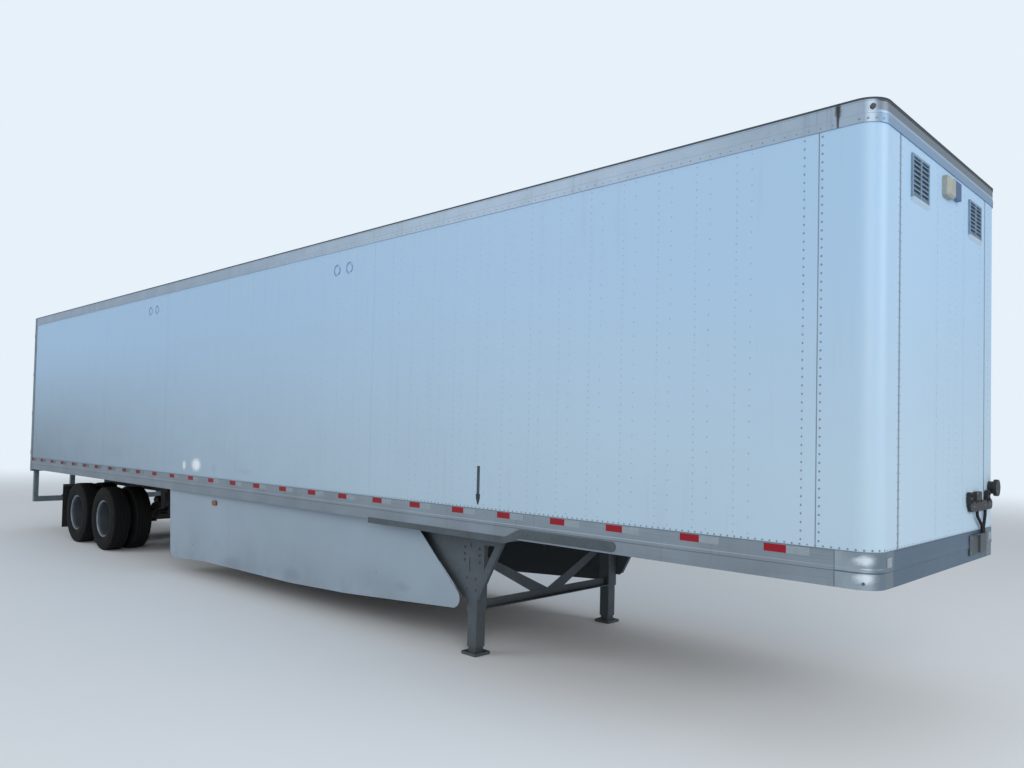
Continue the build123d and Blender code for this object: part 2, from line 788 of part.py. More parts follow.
# Upper coupler: the plate that rides on the fifth wheel, closed behind by a channel
COUPLER_REAR = back(COUPLER_LENGTH)
with BuildPart() as coupler:
    with BuildSketch(Plane.XY.offset(RAIL_BOTTOM)):
        add(deck_plan(RAIL_LIP + FIT, COUPLER_REAR))
    extrude(amount=COUPLER_PLATE)
    with BuildSketch(Plane.XZ.offset(-(INNER_Y - FIT))):
        with Locations((COUPLER_REAR, BEAM_BOTTOM)):
            Rectangle(CHANNEL_SHEET, CROSSMEMBER_DEPTH, align=(Align.MIN, Align.MIN))
        with Locations((COUPLER_REAR, FLOOR_BOTTOM)):
            Rectangle(CHANNEL_FLANGE, CHANNEL_SHEET, align=(Align.MIN, Align.MAX))
    extrude(amount=2 * (INNER_Y - FIT))
coupler.part.label = "coupler"
export_step(coupler.part, "parts/coupler.step")

# Kingpin: collar, neck and head, each (radius, length), downwards
with BuildPart() as kingpin:
    start = RAIL_BOTTOM
    for radius, length in (
        (PIN_COLLAR_RADIUS, PIN_COLLAR),
        (PIN_NECK_RADIUS, PIN_NECK),
        (PIN_HEAD_RADIUS, PIN_HEAD),
    ):
        with BuildSketch(Plane.XY.offset(start)):
            with Locations((back(KINGPIN_SETBACK), 0)):
                Circle(radius)
        extrude(amount=-length)
        start -= length
kingpin.part.label = "kingpin"
export_step(kingpin.part, "parts/kingpin.step")

# Landing gear legs: outer tube, retracted inner tube, ankle and sand shoe
with BuildPart() as landing_legs:
    with BuildSketch(Plane.XY):
        with Locations((LEG_X, LEG_Y)):
            RectangleRounded(FOOT_WIDTH, FOOT_WIDTH, FOOT_WALL)
    extrude(amount=FOOT_LIP)
    with BuildSketch(Plane.XY.offset(FOOT_PLATE)):
        with Locations((LEG_X, LEG_Y)):
            Rectangle(FOOT_WIDTH - 2 * FOOT_WALL, FOOT_WIDTH - 2 * FOOT_WALL)
    extrude(amount=FOOT_LIP, mode=Mode.SUBTRACT)
    with BuildSketch(Plane.XY.offset(FOOT_PLATE)):
        with Locations((LEG_X, LEG_Y)):
            Rectangle(LEG_INNER - 2 * LEG_ROUNDING, LEG_INNER - LEG_ROUNDING)
    extrude(amount=ANKLE_HEIGHT - FOOT_PLATE)
    with BuildSketch(Plane.XY.offset(ANKLE_HEIGHT)):
        with Locations((LEG_X, LEG_Y)):
            RectangleRounded(LEG_INNER, LEG_INNER, LEG_ROUNDING / 2)
    extrude(amount=LEG_INNER_TOP - ANKLE_HEIGHT)
    with BuildSketch(Plane.XY.offset(LEG_INNER_TOP)):
        with Locations((LEG_X, LEG_Y)):
            RectangleRounded(LEG_TUBE, LEG_TUBE, LEG_ROUNDING)
    extrude(amount=LEG_TOP - LEG_INNER_TOP)
    with BuildSketch(Plane.XZ.offset(-BRACE_END)):
        with Locations((LEG_X, SHAFT_Z)):
            Circle(HOUSING_RADIUS)
    extrude(amount=HOUSING_DEPTH)
    mirror(about=Plane.XZ)
landing_legs.part.label = "landing_legs"
export_step(landing_legs.part, "parts/landing_legs.step")

# Wing plates outboard of the legs, flanged along the front edge
with BuildPart() as wing_plates:
    with BuildSketch(Plane.XZ.offset(-WING_Y)):
        with BuildLine():
            Polyline(*[(LEG_X + ahead, LEG_TOP - below) for ahead, below in WING_OUTLINE], close=True)
        make_face()
        with BuildLine():
            Polyline(*[(LEG_X + ahead, LEG_TOP - below) for ahead, below in WING_CUT], close=True)
        make_face(mode=Mode.SUBTRACT)
        with Locations((LEG_X, SHAFT_Z)):
            Circle(WING_HOLE_RADIUS, mode=Mode.SUBTRACT)
        with Locations((LEG_X + WING_SLOT_AHEAD, LEG_TOP - WING_SLOT_DROP)):
            SlotOverall(WING_SLOT_HEIGHT, WING_SLOT_WIDTH, rotation=90, mode=Mode.SUBTRACT)
    extrude(amount=-WING_THICK)
    top_ahead, top_below = WING_OUTLINE[1]
    toe_ahead, toe_below = WING_OUTLINE[2]
    with BuildSketch(Plane.XZ.offset(-(WING_Y + WING_THICK))):
        with BuildLine():
            Polyline(
                (LEG_X + top_ahead, LEG_TOP - top_below),
                (LEG_X + toe_ahead, LEG_TOP - toe_below),
                (LEG_X + toe_ahead - WING_THICK, LEG_TOP - toe_below),
                (LEG_X + top_ahead - WING_THICK, LEG_TOP - top_below),
                close=True,
            )
        make_face()
    extrude(amount=-(WING_FLANGE - WING_THICK))
    mirror(about=Plane.XZ)
wing_plates.part.label = "wing_plates"
export_step(wing_plates.part, "parts/wing_plates.step")

# Bracing between the legs: an angle across, and two flat diagonals from its middle
with BuildPart() as leg_bracing:
    with BuildSketch(Plane.XZ.offset(-BRACE_END)):
        with Locations((LEG_X, BRACE_Z - BRACE_LEG / 2)):
            Rectangle(BRACE_THICK, BRACE_LEG, align=(Align.MIN, Align.MIN))
            Rectangle(BRACE_LEG, BRACE_THICK, align=(Align.MIN, Align.MIN))
    extrude(amount=2 * BRACE_END)
    with BuildSketch(Plane.YZ.offset(LEG_X)):
        with BuildLine():
            Polyline(
                (0, BRACE_Z + BRACE_LEG / 2),
                (BRACE_END, BRACE_Z + BRACE_RISE),
                (BRACE_END, BRACE_Z + BRACE_RISE - BRACE_FLAT),
                (BRACE_HEEL, BRACE_Z - BRACE_LEG / 2),
                (0, BRACE_Z - BRACE_LEG / 2),
                close=True,
            )
        make_face()
        mirror(about=Plane.YZ)
    extrude(amount=-BRACE_THICK)
leg_bracing.part.label = "leg_bracing"
export_step(leg_bracing.part, "parts/leg_bracing.step")

# Cross shaft that turns both legs together
SHAFT_END = BRACE_END - HOUSING_DEPTH
with BuildPart() as cross_shaft:
    with BuildSketch(Plane.XZ.offset(-SHAFT_END)):
        with Locations((LEG_X, SHAFT_Z)):
            Circle(SHAFT_RADIUS)
    extrude(amount=2 * SHAFT_END)
cross_shaft.part.label = "cross_shaft"
export_step(cross_shaft.part, "parts/cross_shaft.step")

# Gearbox on the road side, outside the wing plate
with BuildPart() as leg_gearbox:
    with BuildSketch(Plane.XZ.offset(-(WING_Y + WING_THICK))):
        with Locations((LEG_X, SHAFT_Z)):
            RectangleRounded(GEARBOX_LENGTH, GEARBOX_HEIGHT, GEARBOX_LENGTH / 4)
    extrude(amount=-GEARBOX_DEPTH)
    chamfer(leg_gearbox.faces().sort_by(Axis.Y)[-1].edges(), length=GEARBOX_DEPTH / 4)
leg_gearbox.part.label = "leg_gearbox"
export_step(leg_gearbox.part, "parts/leg_gearbox.step")

# Crank on the road side, folded back along the rail
CRANK_Y = WING_Y + WING_THICK + GEARBOX_DEPTH
with BuildPart() as crank:
    with BuildLine() as crank_line:
        FilletPolyline(
            (LEG_X, CRANK_Y, SHAFT_Z),
            (LEG_X, WING_Y + CRANK_REACH, SHAFT_Z),
            (LEG_X - CRANK_ARM, WING_Y + CRANK_REACH, SHAFT_Z - CRANK_ROD),
            (LEG_X - CRANK_ARM, WING_Y + CRANK_REACH, SHAFT_Z - CRANK_GRIP),
            radius=3 * CRANK_ROD,
        )
    with BuildSketch(Plane(crank_line.line @ 0, z_dir=crank_line.line % 0)):
        Circle(CRANK_ROD)
    sweep()
crank.part.label = "crank"
export_step(crank.part, "parts/crank.step")

# Galvanised guard plates on the rails, above the legs
with BuildPart() as guard_plates:
    kink = LEG_X + GUARD_KINK_AHEAD
    with BuildSketch(Plane.XZ.offset(-(HALF_WIDTH - LOW_BAND_INSET))):
        with BuildLine():
            Polyline(
                (LEG_X - GUARD_BEHIND, RAIL_BOTTOM - GUARD_SAG),
                (kink, RAIL_BOTTOM - GUARD_SAG),
                (kink + GUARD_KINK_LENGTH, RAIL_BOTTOM + GUARD_OVERLAP),
                (LEG_X + GUARD_AHEAD, RAIL_BOTTOM + GUARD_OVERLAP),
                (LEG_X + GUARD_AHEAD, RAIL_BOTTOM + GUARD_OVERLAP + GUARD_STRIP),
                (kink + GUARD_KINK_LENGTH, RAIL_BOTTOM + GUARD_OVERLAP + GUARD_STRIP),
                (kink, RAIL_BOTTOM + GUARD_OVERLAP),
                (LEG_X - GUARD_BEHIND, RAIL_BOTTOM + GUARD_OVERLAP),
                close=True,
            )
        make_face()
    extrude(amount=-GUARD_THICK)
    nose = guard_plates.edges().filter_by(Axis.Y).group_by(Axis.X)[-1]
    fillet(nose, radius=GUARD_NOSE_RADIUS)
    mirror(about=Plane.XZ)
guard_plates.part.label = "guard_plates"
export_step(guard_plates.part, "parts/guard_plates.step")

# Skirts: one panel a side, toed in towards the front, round at both lower corners
SKIRT_RUN = SKIRT_REAR - SKIRT_FRONT
SKIRT_LENGTH = (SKIRT_RUN**2 + (SKIRT_REAR_Y - SKIRT_FRONT_Y) ** 2) ** 0.5
SKIRT_TIP = (SKIRT_LENGTH, SKIRT_TIP_Z)
skirt_plane = Plane(
    origin=(back(SKIRT_REAR), SKIRT_REAR_Y, 0),
    x_dir=(SKIRT_RUN, SKIRT_FRONT_Y - SKIRT_REAR_Y, 0),
    z_dir=(SKIRT_FRONT_Y - SKIRT_REAR_Y, -SKIRT_RUN, 0),
)
with BuildPart() as skirt_left:
    with BuildSketch(skirt_plane) as skirt_face:
        with BuildLine():
            Polyline(
                (0, SKIRT_TOP),
                SKIRT_REAR_CORNER,
                *SKIRT_BELLY,
                SKIRT_TIP,
                (SKIRT_LENGTH - SKIRT_SLANT, SKIRT_TOP),
                close=True,
            )
        make_face()
        fillet(skirt_face.vertices().sort_by_distance(SKIRT_REAR_CORNER)[0], radius=SKIRT_REAR_ROUNDING)
        fillet(skirt_face.vertices().sort_by_distance(SKIRT_TIP)[0], radius=SKIRT_TIP_ROUNDING)
    extrude(amount=SKIRT_THICK)
skirt_left.part.label = "skirt_left"
export_step(skirt_left.part, "parts/skirt_left.step")
skirt_right = mirrored(skirt_left)
skirt_right.part.label = "skirt_right"
export_step(skirt_right.part, "parts/skirt_right.step")


def skirt_inner_y(distance):
    """Y of the skirt's inner face at the given setback."""
    share = (distance - SKIRT_FRONT) / SKIRT_RUN
    return SKIRT_FRONT_Y + share * (SKIRT_REAR_Y - SKIRT_FRONT_Y) - SKIRT_THICK


# Slanted struts that carry the skirts from the crossmembers
with BuildPart() as skirt_struts:
    for setback in STRUT_SETBACKS:
        outer = skirt_inner_y(setback - STRUT_WIDTH / 2) - 2 * FIT
        with BuildSketch(Plane.YZ.offset(back(setback) - STRUT_WIDTH / 2)):
            with BuildLine():
                Polyline(
                    (outer, STRUT_FOOT),
                    (outer, STRUT_FOOT + STRUT_TAB),
                    (outer - STRUT_SPREAD, SKIRT_TOP),
                    (outer - STRUT_SPREAD - STRUT_THICK, SKIRT_TOP),
                    (outer - STRUT_THICK, STRUT_FOOT + STRUT_TAB - STRUT_THICK),
                    (outer - STRUT_THICK, STRUT_FOOT),
                    close=True,
                )
            make_face()
        extrude(amount=STRUT_WIDTH)
    mirror(about=Plane.XZ)
skirt_struts.part.label = "skirt_struts"
export_step(skirt_struts.part, "parts/skirt_struts.step")

# Slide rails under the crossmembers, with a row of holes for the lock pins
with BuildPart() as slide_rails:
    with BuildSketch(Plane.YZ.offset(back(SLIDE_REAR))):
        with Locations((SLIDE_Y, BEAM_BOTTOM)):
            Rectangle(SLIDE_SHEET, SLIDE_DEPTH, align=(Align.CENTER, Align.MAX))
            Rectangle(SLIDE_FLANGE, SLIDE_SHEET, align=(Align.CENTER, Align.MAX))
        with Locations((SLIDE_Y, BOGIE_TOP)):
            Rectangle(SLIDE_FLANGE, SLIDE_SHEET, align=(Align.CENTER, Align.MIN))
    extrude(amount=SLIDE_LENGTH)
    with BuildSketch(Plane.XZ.offset(-(SLIDE_Y - SLIDE_SHEET))):
        with Locations(*[(back(setback), PIN_HOLE_Z) for setback in PIN_HOLES]):
            Circle(PIN_HOLE_RADIUS)
    extrude(amount=-2 * SLIDE_SHEET, mode=Mode.SUBTRACT)
    mirror(about=Plane.XZ)
slide_rails.part.label = "slide_rails"
export_step(slide_rails.part, "parts/slide_rails.step")

# Bogie frame: side rails, cross tubes, spring hangers, lock pins and flap bars
END_HANGERS = (FRONT_AXLE_SETBACK - HANGER_REACH, REAR_AXLE_SETBACK + HANGER_REACH)
MIDDLE_HANGER = (FRONT_AXLE_SETBACK + REAR_AXLE_SETBACK) / 2
HANGER_PLATES = (SPRING_Y - HANGER_WIDTH / 2, SPRING_Y + HANGER_WIDTH / 2 - HANGER_PLATE)
TONGUE_OUTER = SPRING_Y - HANGER_WIDTH / 2
LOCK_OUTER = SLIDE_Y - SLIDE_FLANGE / 2 - FIT
LOCK_INNER = SLIDE_Y - BOGIE_WIDTH / 2
LOCK_SETBACKS = [
    min(PIN_HOLES, key=lambda hole: abs(hole - place))
    for place in (BOGIE_FRONT + LOCK_END, BOGIE_REAR - LOCK_END)
]
with BuildPart() as bogie_frame:
    with BuildSketch(Plane.XY.offset(BOGIE_BOTTOM)):
        with Locations(((back(BOGIE_FRONT) + back(BOGIE_REAR)) / 2, SLIDE_Y)):
            Rectangle(BOGIE_REAR - BOGIE_FRONT, BOGIE_WIDTH)
    extrude(amount=BOGIE_DEPTH)
    for plate in HANGER_PLATES:
        with BuildSketch(Plane.XZ.offset(-plate)):
            for setback, low in (
                (END_HANGERS[0], HANGER_BOTTOM),
                (MIDDLE_HANGER, PIVOT_Z - PIVOT_EDGE),
                (END_HANGERS[1], HANGER_BOTTOM),
            ):
                with BuildLine():
                    Polyline(
                        (back(setback) - HANGER_TOP_HALF, BOGIE_BOTTOM),
                        (back(setback) + HANGER_TOP_HALF, BOGIE_BOTTOM),
                        (back(setback) + HANGER_LOW_HALF, low),
                        (back(setback) - HANGER_LOW_HALF, low),
                        close=True,
                    )
                make_face()
        extrude(amount=-HANGER_PLATE)
    with BuildSketch(Plane.XY.offset(BOGIE_BOTTOM)):
        with Locations(*[(back(setback), SPRING_Y) for setback in END_HANGERS]):
            Rectangle(2 * HANGER_LOW_HALF, HANGER_WIDTH - HANGER_PLATE)
    extrude(amount=LEAF_END_TOP + FIT - BOGIE_BOTTOM)
    with BuildSketch(Plane.XZ.offset(-(SPRING_Y - HANGER_WIDTH / 2))):
        with Locations((back(MIDDLE_HANGER), PIVOT_Z)):
            Circle(PIVOT_RADIUS)
    extrude(amount=-HANGER_WIDTH)
    with BuildSketch(Plane.XZ.offset(-TONGUE_OUTER)):
        with Locations(*[(back(setback), ROD_EYE_Z) for setback in (END_HANGERS[0], MIDDLE_HANGER)]):
            Rectangle(TONGUE_LENGTH, TONGUE_HEIGHT, align=(Align.CENTER, Align.MIN))
            Circle(TONGUE_LENGTH / 2)
    extrude(amount=TONGUE_THICK)
    with BuildSketch(Plane.XZ.offset(-(WHEEL_Y + FLAP_WIDTH / 2))):
        with Locations((back(FLAP_SETBACK) + FLAP_THICK / 2, FLAP_TOP)):
            Rectangle(FLAP_BAR, FLAP_BAR, align=(Align.MIN, Align.MAX))
    extrude(amount=WHEEL_Y + FLAP_WIDTH / 2)
    with BuildSketch(Plane.XY.offset(BOGIE_BOTTOM)):
        with Locations(((back(BOGIE_REAR) + back(FLAP_SETBACK)) / 2, SLIDE_Y)):
            Rectangle(FLAP_SETBACK - BOGIE_REAR + 2 * FLAP_BAR, BOGIE_WIDTH)
    extrude(amount=-FLAP_BAR / 2)
    with BuildSketch(Plane.XZ):
        with Locations(
            *[
                (back(setback), BOGIE_TOP - BOGIE_DEPTH / 2)
                for setback in (END_HANGERS[0], MIDDLE_HANGER, END_HANGERS[1])
            ]
        ):
            Rectangle(BOGIE_TUBE, BOGIE_TUBE)
    extrude(amount=-SLIDE_Y)
    with BuildSketch(Plane.XY.offset(BOGIE_TOP)):
        with Locations(*[(back(hole), (LOCK_INNER + LOCK_OUTER) / 2) for hole in LOCK_SETBACKS]):
            Rectangle(LOCK_BLOCK, LOCK_OUTER - LOCK_INNER)
    extrude(amount=LOCK_BLOCK_HEIGHT)
    with BuildSketch(Plane.XZ.offset(-(LOCK_INNER - LOCK_PIN_REACH))):
        with Locations(*[(back(hole), PIN_HOLE_Z) for hole in LOCK_SETBACKS]):
            Circle(LOCK_PIN_RADIUS)
    extrude(amount=-(SLIDE_Y - LOCK_INNER + 2 * LOCK_PIN_REACH))
    mirror(about=Plane.XZ)
bogie_frame.part.label = "bogie_frame"
export_step(bogie_frame.part, "parts/bogie_frame.step")

# Axles with spindles, shields, spring seats, rod lugs, camshafts and brake chambers
SPINDLE_END = WHEEL_Y + SPINDLE_OUTBOARD
BRAKE_Z = TYRE_RADIUS + BRAKE_LIFT
CHAMBER_Y = SLACK_Y + SLACK_THICK / 2
LUG_OUTER = TONGUE_OUTER - TONGUE_THICK + LUG_THICK
with BuildPart() as axles:
    for name, setback in AXLES:
        middle = back(setback)
        with BuildSketch(Plane.XZ):
            with Locations((middle, TYRE_RADIUS)):
                Circle(AXLE_RADIUS)
        extrude(amount=-TUBE_END)
        with BuildSketch(Plane.XZ.offset(-TUBE_END)):
            with Locations((middle, TYRE_RADIUS)):
                Circle(SPINDLE_RADIUS)
        extrude(amount=-(SPINDLE_END - TUBE_END))
        with BuildSketch(Plane.XZ.offset(-(TUBE_END - SHIELD_INBOARD))):
            with Locations((middle, TYRE_RADIUS)):
                Circle(SHIELD_RADIUS)
        extrude(amount=-SHIELD_THICK)
        with BuildSketch(Plane.XY.offset(TYRE_RADIUS)):
            with Locations((middle, SPRING_Y)):
                Rectangle(SEAT_LENGTH, SEAT_WIDTH)
        extrude(amount=SEAT_TOP - TYRE_RADIUS)
        with BuildSketch(Plane.XZ.offset(-LUG_OUTER)):
            with Locations((middle, TYRE_RADIUS)):
                Circle(AXLE_RADIUS + LUG_THICK)
            with Locations((middle + ROD_END_AHEAD, ROD_END_Z)):
                Circle(ROD_EYE_RADIUS)
            make_hull()
        extrude(amount=LUG_THICK)
        with BuildSketch(Plane.XZ.offset(-SLACK_Y)):
            with Locations((middle - CAM_BACK, TYRE_RADIUS)):
                Circle(CAM_TUBE_RADIUS)
        extrude(amount=-(TUBE_END - SLACK_Y))
        with BuildSketch(Plane.XZ.offset(-SLACK_Y)):
            with Locations((middle - CAM_BACK, TYRE_RADIUS), (middle - CAM_BACK, BRAKE_Z)):
                Circle(SLACK_WIDTH / 2)
            make_hull()
        extrude(amount=-SLACK_THICK)
        with BuildSketch(Plane.YZ.offset(middle - CAM_BACK)):
            with Locations((CHAMBER_Y, BRAKE_Z)):
                Circle(PUSHROD_RADIUS)
        extrude(amount=-(CHAMBER_FRONT - CAM_BACK))
        start = middle - CHAMBER_FRONT
        for radius, length in CHAMBER_STEPS:
            with BuildSketch(Plane.YZ.offset(start)):
                with Locations((CHAMBER_Y, BRAKE_Z)):
                    Circle(radius)
            extrude(amount=-length)
            start -= length
        with BuildSketch(Plane.YZ.offset(middle - CHAMBER_FRONT)):
            with Locations((CHAMBER_Y, TYRE_RADIUS - BRACKET_ARM / 2)):
                Rectangle(2 * BRACKET_HALF, BRAKE_LIFT + BRACKET_ARM, align=(Align.CENTER, Align.MIN))
        extrude(amount=BRACKET_THICK)
        with BuildSketch(Plane.XZ.offset(-(CHAMBER_Y + BRACKET_HALF))):
            with Locations((middle, TYRE_RADIUS)):
                Rectangle(CHAMBER_FRONT, BRACKET_ARM, align=(Align.MAX, Align.CENTER))
        extrude(amount=BRACKET_THICK)
    mirror(about=Plane.XZ)
axles.part.label = "axles"
export_step(axles.part, "parts/axles.step")


def leaf_point(setback, level, ahead):
    """A point on a leaf's face: level 0 is the lowest face, and each face is an arc."""
    rise = ARCH_RADIUS - (ARCH_RADIUS**2 - ahead**2) ** 0.5
    return (back(setback) + ahead, SEAT_TOP + level * LEAF_THICK + rise)


# Leaf springs over the axles, each clamped down by four rods and two plates
with BuildPart() as springs:
    for name, setback in AXLES:
        with BuildSketch(Plane.XZ.offset(-(SPRING_Y - LEAF_WIDTH / 2))):
            for level in range(LEAF_COUNT):
                reach = SPRING_REACH - (LEAF_COUNT - 1 - level) * LEAF_STEP
                with BuildLine():
                    low = ThreePointArc(*[leaf_point(setback, level, d) for d in (-reach, 0, reach)])
                    high = ThreePointArc(*[leaf_point(setback, level + 1, d) for d in (-reach, 0, reach)])
                    Line(low @ 0, high @ 0)
                    Line(low @ 1, high @ 1)
                make_face()
        extrude(amount=-LEAF_WIDTH)
        for bottom in (SEAT_TOP + LEAF_COUNT * LEAF_THICK, CLAMP_LOW):
            with BuildSketch(Plane.XY.offset(bottom)):
                with Locations((back(setback), SPRING_Y)):
                    Rectangle(CLAMP_LENGTH, CLAMP_WIDTH)
            extrude(amount=CLAMP_PLATE)
        with BuildSketch(Plane.XY.offset(CLAMP_LOW)):
            with Locations((back(setback), SPRING_Y)):
                with GridLocations(2 * CLAMP_ROD_X, 2 * CLAMP_ROD_Y, 2, 2):
                    Circle(CLAMP_ROD)
        extrude(amount=SEAT_TOP + LEAF_COUNT * LEAF_THICK - CLAMP_LOW)
    mirror(about=Plane.XZ)
springs.part.label = "springs"
export_step(springs.part, "parts/springs.step")

# Equalisers: rockers in the middle hangers that share the load between the springs
with BuildPart() as equalisers:
    low = LEAF_END_TOP + FIT
    with BuildSketch(Plane.XZ.offset(-(SPRING_Y - EQUALISER_WIDTH / 2))):
        with BuildLine():
            Polyline(
                (back(MIDDLE_HANGER) - EQUALISER_REACH, low),
                (back(MIDDLE_HANGER) - EQUALISER_REACH, low + EQUALISER_TIP),
                (back(MIDDLE_HANGER) - EQUALISER_CROWN, low + EQUALISER_HEIGHT),
                (back(MIDDLE_HANGER) + EQUALISER_CROWN, low + EQUALISER_HEIGHT),
                (back(MIDDLE_HANGER) + EQUALISER_REACH, low + EQUALISER_TIP),
                (back(MIDDLE_HANGER) + EQUALISER_REACH, low),
                close=True,
            )
        make_face()
        with Locations((back(MIDDLE_HANGER), PIVOT_Z)):
            Circle(PIVOT_RADIUS + PIN_PLAY, mode=Mode.SUBTRACT)
    extrude(amount=-EQUALISER_WIDTH)
    mirror(about=Plane.XZ)
equalisers.part.label = "equalisers"
export_step(equalisers.part, "parts/equalisers.step")

# Radius rods from the hangers back to the axles, with an eye at each end
ROD_MIDDLE = TONGUE_OUTER - TONGUE_THICK - FIT - ROD_EYE_WIDTH / 2
with BuildPart() as radius_rods:
    for hanger, setback in ((END_HANGERS[0], FRONT_AXLE_SETBACK), (MIDDLE_HANGER, REAR_AXLE_SETBACK)):
        ahead = Vector(back(hanger), ROD_MIDDLE, ROD_EYE_Z)
        behind = Vector(back(setback) + ROD_END_AHEAD, ROD_MIDDLE, ROD_END_Z)
        with BuildSketch(Plane.XZ.offset(-(ROD_MIDDLE - ROD_EYE_WIDTH / 2))):
            with Locations((ahead.X, ahead.Z), (behind.X, behind.Z)):
                Circle(ROD_EYE_RADIUS)
        extrude(amount=-ROD_EYE_WIDTH)
        with BuildSketch(Plane(origin=ahead, z_dir=behind - ahead)):
            Circle(ROD_BAR_RADIUS)
        extrude(amount=(behind - ahead).length)
    mirror(about=Plane.XZ)
radius_rods.part.label = "radius_rods"
export_step(radius_rods.part, "parts/radius_rods.step")

# Air tank between the bogie rails
TANK_HALF = SLIDE_Y - BOGIE_WIDTH / 2 - FIT
with BuildPart() as air_tank:
    with BuildSketch(Plane.XZ.offset(-TANK_HALF)):
        with Locations((back(BOGIE_FRONT + TANK_BACK), BOGIE_TOP - TANK_RADIUS)):
            Circle(TANK_RADIUS)
    extrude(amount=2 * TANK_HALF)
    chamfer(air_tank.edges().filter_by(GeomType.CIRCLE), length=TANK_DOME)
air_tank.part.label = "air_tank"
export_step(air_tank.part, "parts/air_tank.step")

# Mud flaps behind the rear wheels
with BuildPart() as mud_flaps:
    with BuildSketch(Plane.YZ.offset(back(FLAP_SETBACK) - FLAP_THICK / 2)):
        with Locations((WHEEL_Y, (FLAP_BOTTOM + FLAP_TOP) / 2)):
            Rectangle(FLAP_WIDTH, FLAP_TOP - FLAP_BOTTOM)
    extrude(amount=FLAP_THICK)
    mirror(about=Plane.XZ)
mud_flaps.part.label = "mud_flaps"
export_step(mud_flaps.part, "parts/mud_flaps.step")

# Twin wheels: every outline is (distance outboard of the disc face, radius)
TYRE_MIDDLE = DUAL_SPACING / 2
TYRE_HALF = TYRE_WIDTH / 2
TYRE_WALL = TYRE_RADIUS - BEAD_RADIUS
half_tyre = [(across * TYRE_HALF, BEAD_RADIUS + share * TYRE_WALL) for across, share in TYRE_SHAPE]
TYRE_PROFILE = half_tyre + [(-across, radius) for across, radius in reversed(half_tyre)]
RIM_PROFILE = (
    (0, HUB_BORE + FIT),
    (RIM_SHEET, HUB_BORE + FIT),
    (RIM_SHEET, BEAD_RADIUS - RIM_DISH),
    (TYRE_MIDDLE - RIM_HALF, BEAD_RADIUS - RIM_THROAT),
    (TYRE_MIDDLE + RIM_SEAT, BEAD_RADIUS - RIM_SHEET),
    (TYRE_MIDDLE + RIM_HALF, BEAD_RADIUS + RIM_LIP),
    (TYRE_MIDDLE + RIM_SEAT, BEAD_RADIUS - FIT),
    (TYRE_MIDDLE - RIM_SEAT, BEAD_RADIUS - FIT),
    (TYRE_MIDDLE - RIM_HALF, BEAD_RADIUS + RIM_LIP),
    (TYRE_MIDDLE - RIM_HALF - RIM_SHEET / 2, BEAD_RADIUS - RIM_THROAT / 2),
    (0, BEAD_RADIUS - RIM_DISH + RIM_SHEET),
)
HUB_PROFILE = (
    (-HUB_INBOARD, SPINDLE_RADIUS + PIN_PLAY),
    (SPINDLE_OUTBOARD + RIM_SHEET, SPINDLE_RADIUS + PIN_PLAY),
    (SPINDLE_OUTBOARD + RIM_SHEET, 0),
    (HUB_OUTBOARD, 0),
    (HUB_OUTBOARD, HUB_CAP_RADIUS),
    (HUB_OUTBOARD - HUB_CAP_LENGTH, HUB_CAP_RADIUS + HUB_SHOULDER),
    (HUB_OUTBOARD - HUB_CAP_LENGTH, HUB_BORE - HUB_SHOULDER),
    (RIM_SHEET + HUB_SHOULDER, HUB_BORE),
    (-RIM_SHEET, HUB_BORE),
    (-RIM_SHEET, HUB_FLANGE_RADIUS),
    (-DRUM_FACE, DRUM_RADIUS),
    (-DRUM_INBOARD, DRUM_RADIUS),
    (-DRUM_INBOARD, DRUM_RADIUS - DRUM_WALL),
    (-DRUM_FACE - DRUM_WALL, DRUM_RADIUS - DRUM_WALL),
    (-DRUM_FACE - DRUM_WALL, HUB_BARREL_RADIUS),
    (-HUB_INBOARD, HUB_BARREL_RADIUS),
)


def wheel_profile(points, middle=0, flip=1):
    """A closed outline in the plane of the wheel's axis, turned about the axis later."""
    with BuildSketch(Plane.YZ) as outline:
        with BuildLine():
            Polyline(*[(flip * (middle + across), radius) for across, radius in points], close=True)
        make_face()
    return outline.sketch


WHEEL_AXIS = Axis((0, 0, 0), (0, 1, 0))
with BuildPart() as tyre_pair:
    add(revolve(wheel_profile(TYRE_PROFILE, TYRE_MIDDLE), axis=WHEEL_AXIS, mode=Mode.PRIVATE))
    add(revolve(wheel_profile(TYRE_PROFILE, -TYRE_MIDDLE), axis=WHEEL_AXIS, mode=Mode.PRIVATE))

with BuildPart() as rim_pair:
    add(revolve(wheel_profile(RIM_PROFILE), axis=WHEEL_AXIS, mode=Mode.PRIVATE))
    add(revolve(wheel_profile(RIM_PROFILE, flip=-1), axis=WHEEL_AXIS, mode=Mode.PRIVATE))
    with BuildSketch(Plane.XZ.offset(-2 * RIM_SHEET)):
        with PolarLocations(STUD_CIRCLE, STUD_COUNT):
            Circle(STUD_RADIUS + STUD_PLAY)
        with PolarLocations(HAND_HOLE_CIRCLE, HAND_HOLE_COUNT):
            Circle(HAND_HOLE_RADIUS)
    extrude(amount=4 * RIM_SHEET, mode=Mode.SUBTRACT)

with BuildPart() as hub_unit:
    add(revolve(wheel_profile(HUB_PROFILE), axis=WHEEL_AXIS, mode=Mode.PRIVATE))
    with BuildSketch(Plane.XZ.offset(-RIM_SHEET)):
        with PolarLocations(STUD_CIRCLE, STUD_COUNT):
            RegularPolygon(NUT_RADIUS, 6)
    extrude(amount=-NUT_HEIGHT)
    with BuildSketch(Plane.XZ.offset(RIM_SHEET)):
        with PolarLocations(STUD_CIRCLE, STUD_COUNT):
            RegularPolygon(STUD_RADIUS, 6)
    extrude(amount=-(2 * RIM_SHEET + NUT_HEIGHT + STUD_RADIUS))

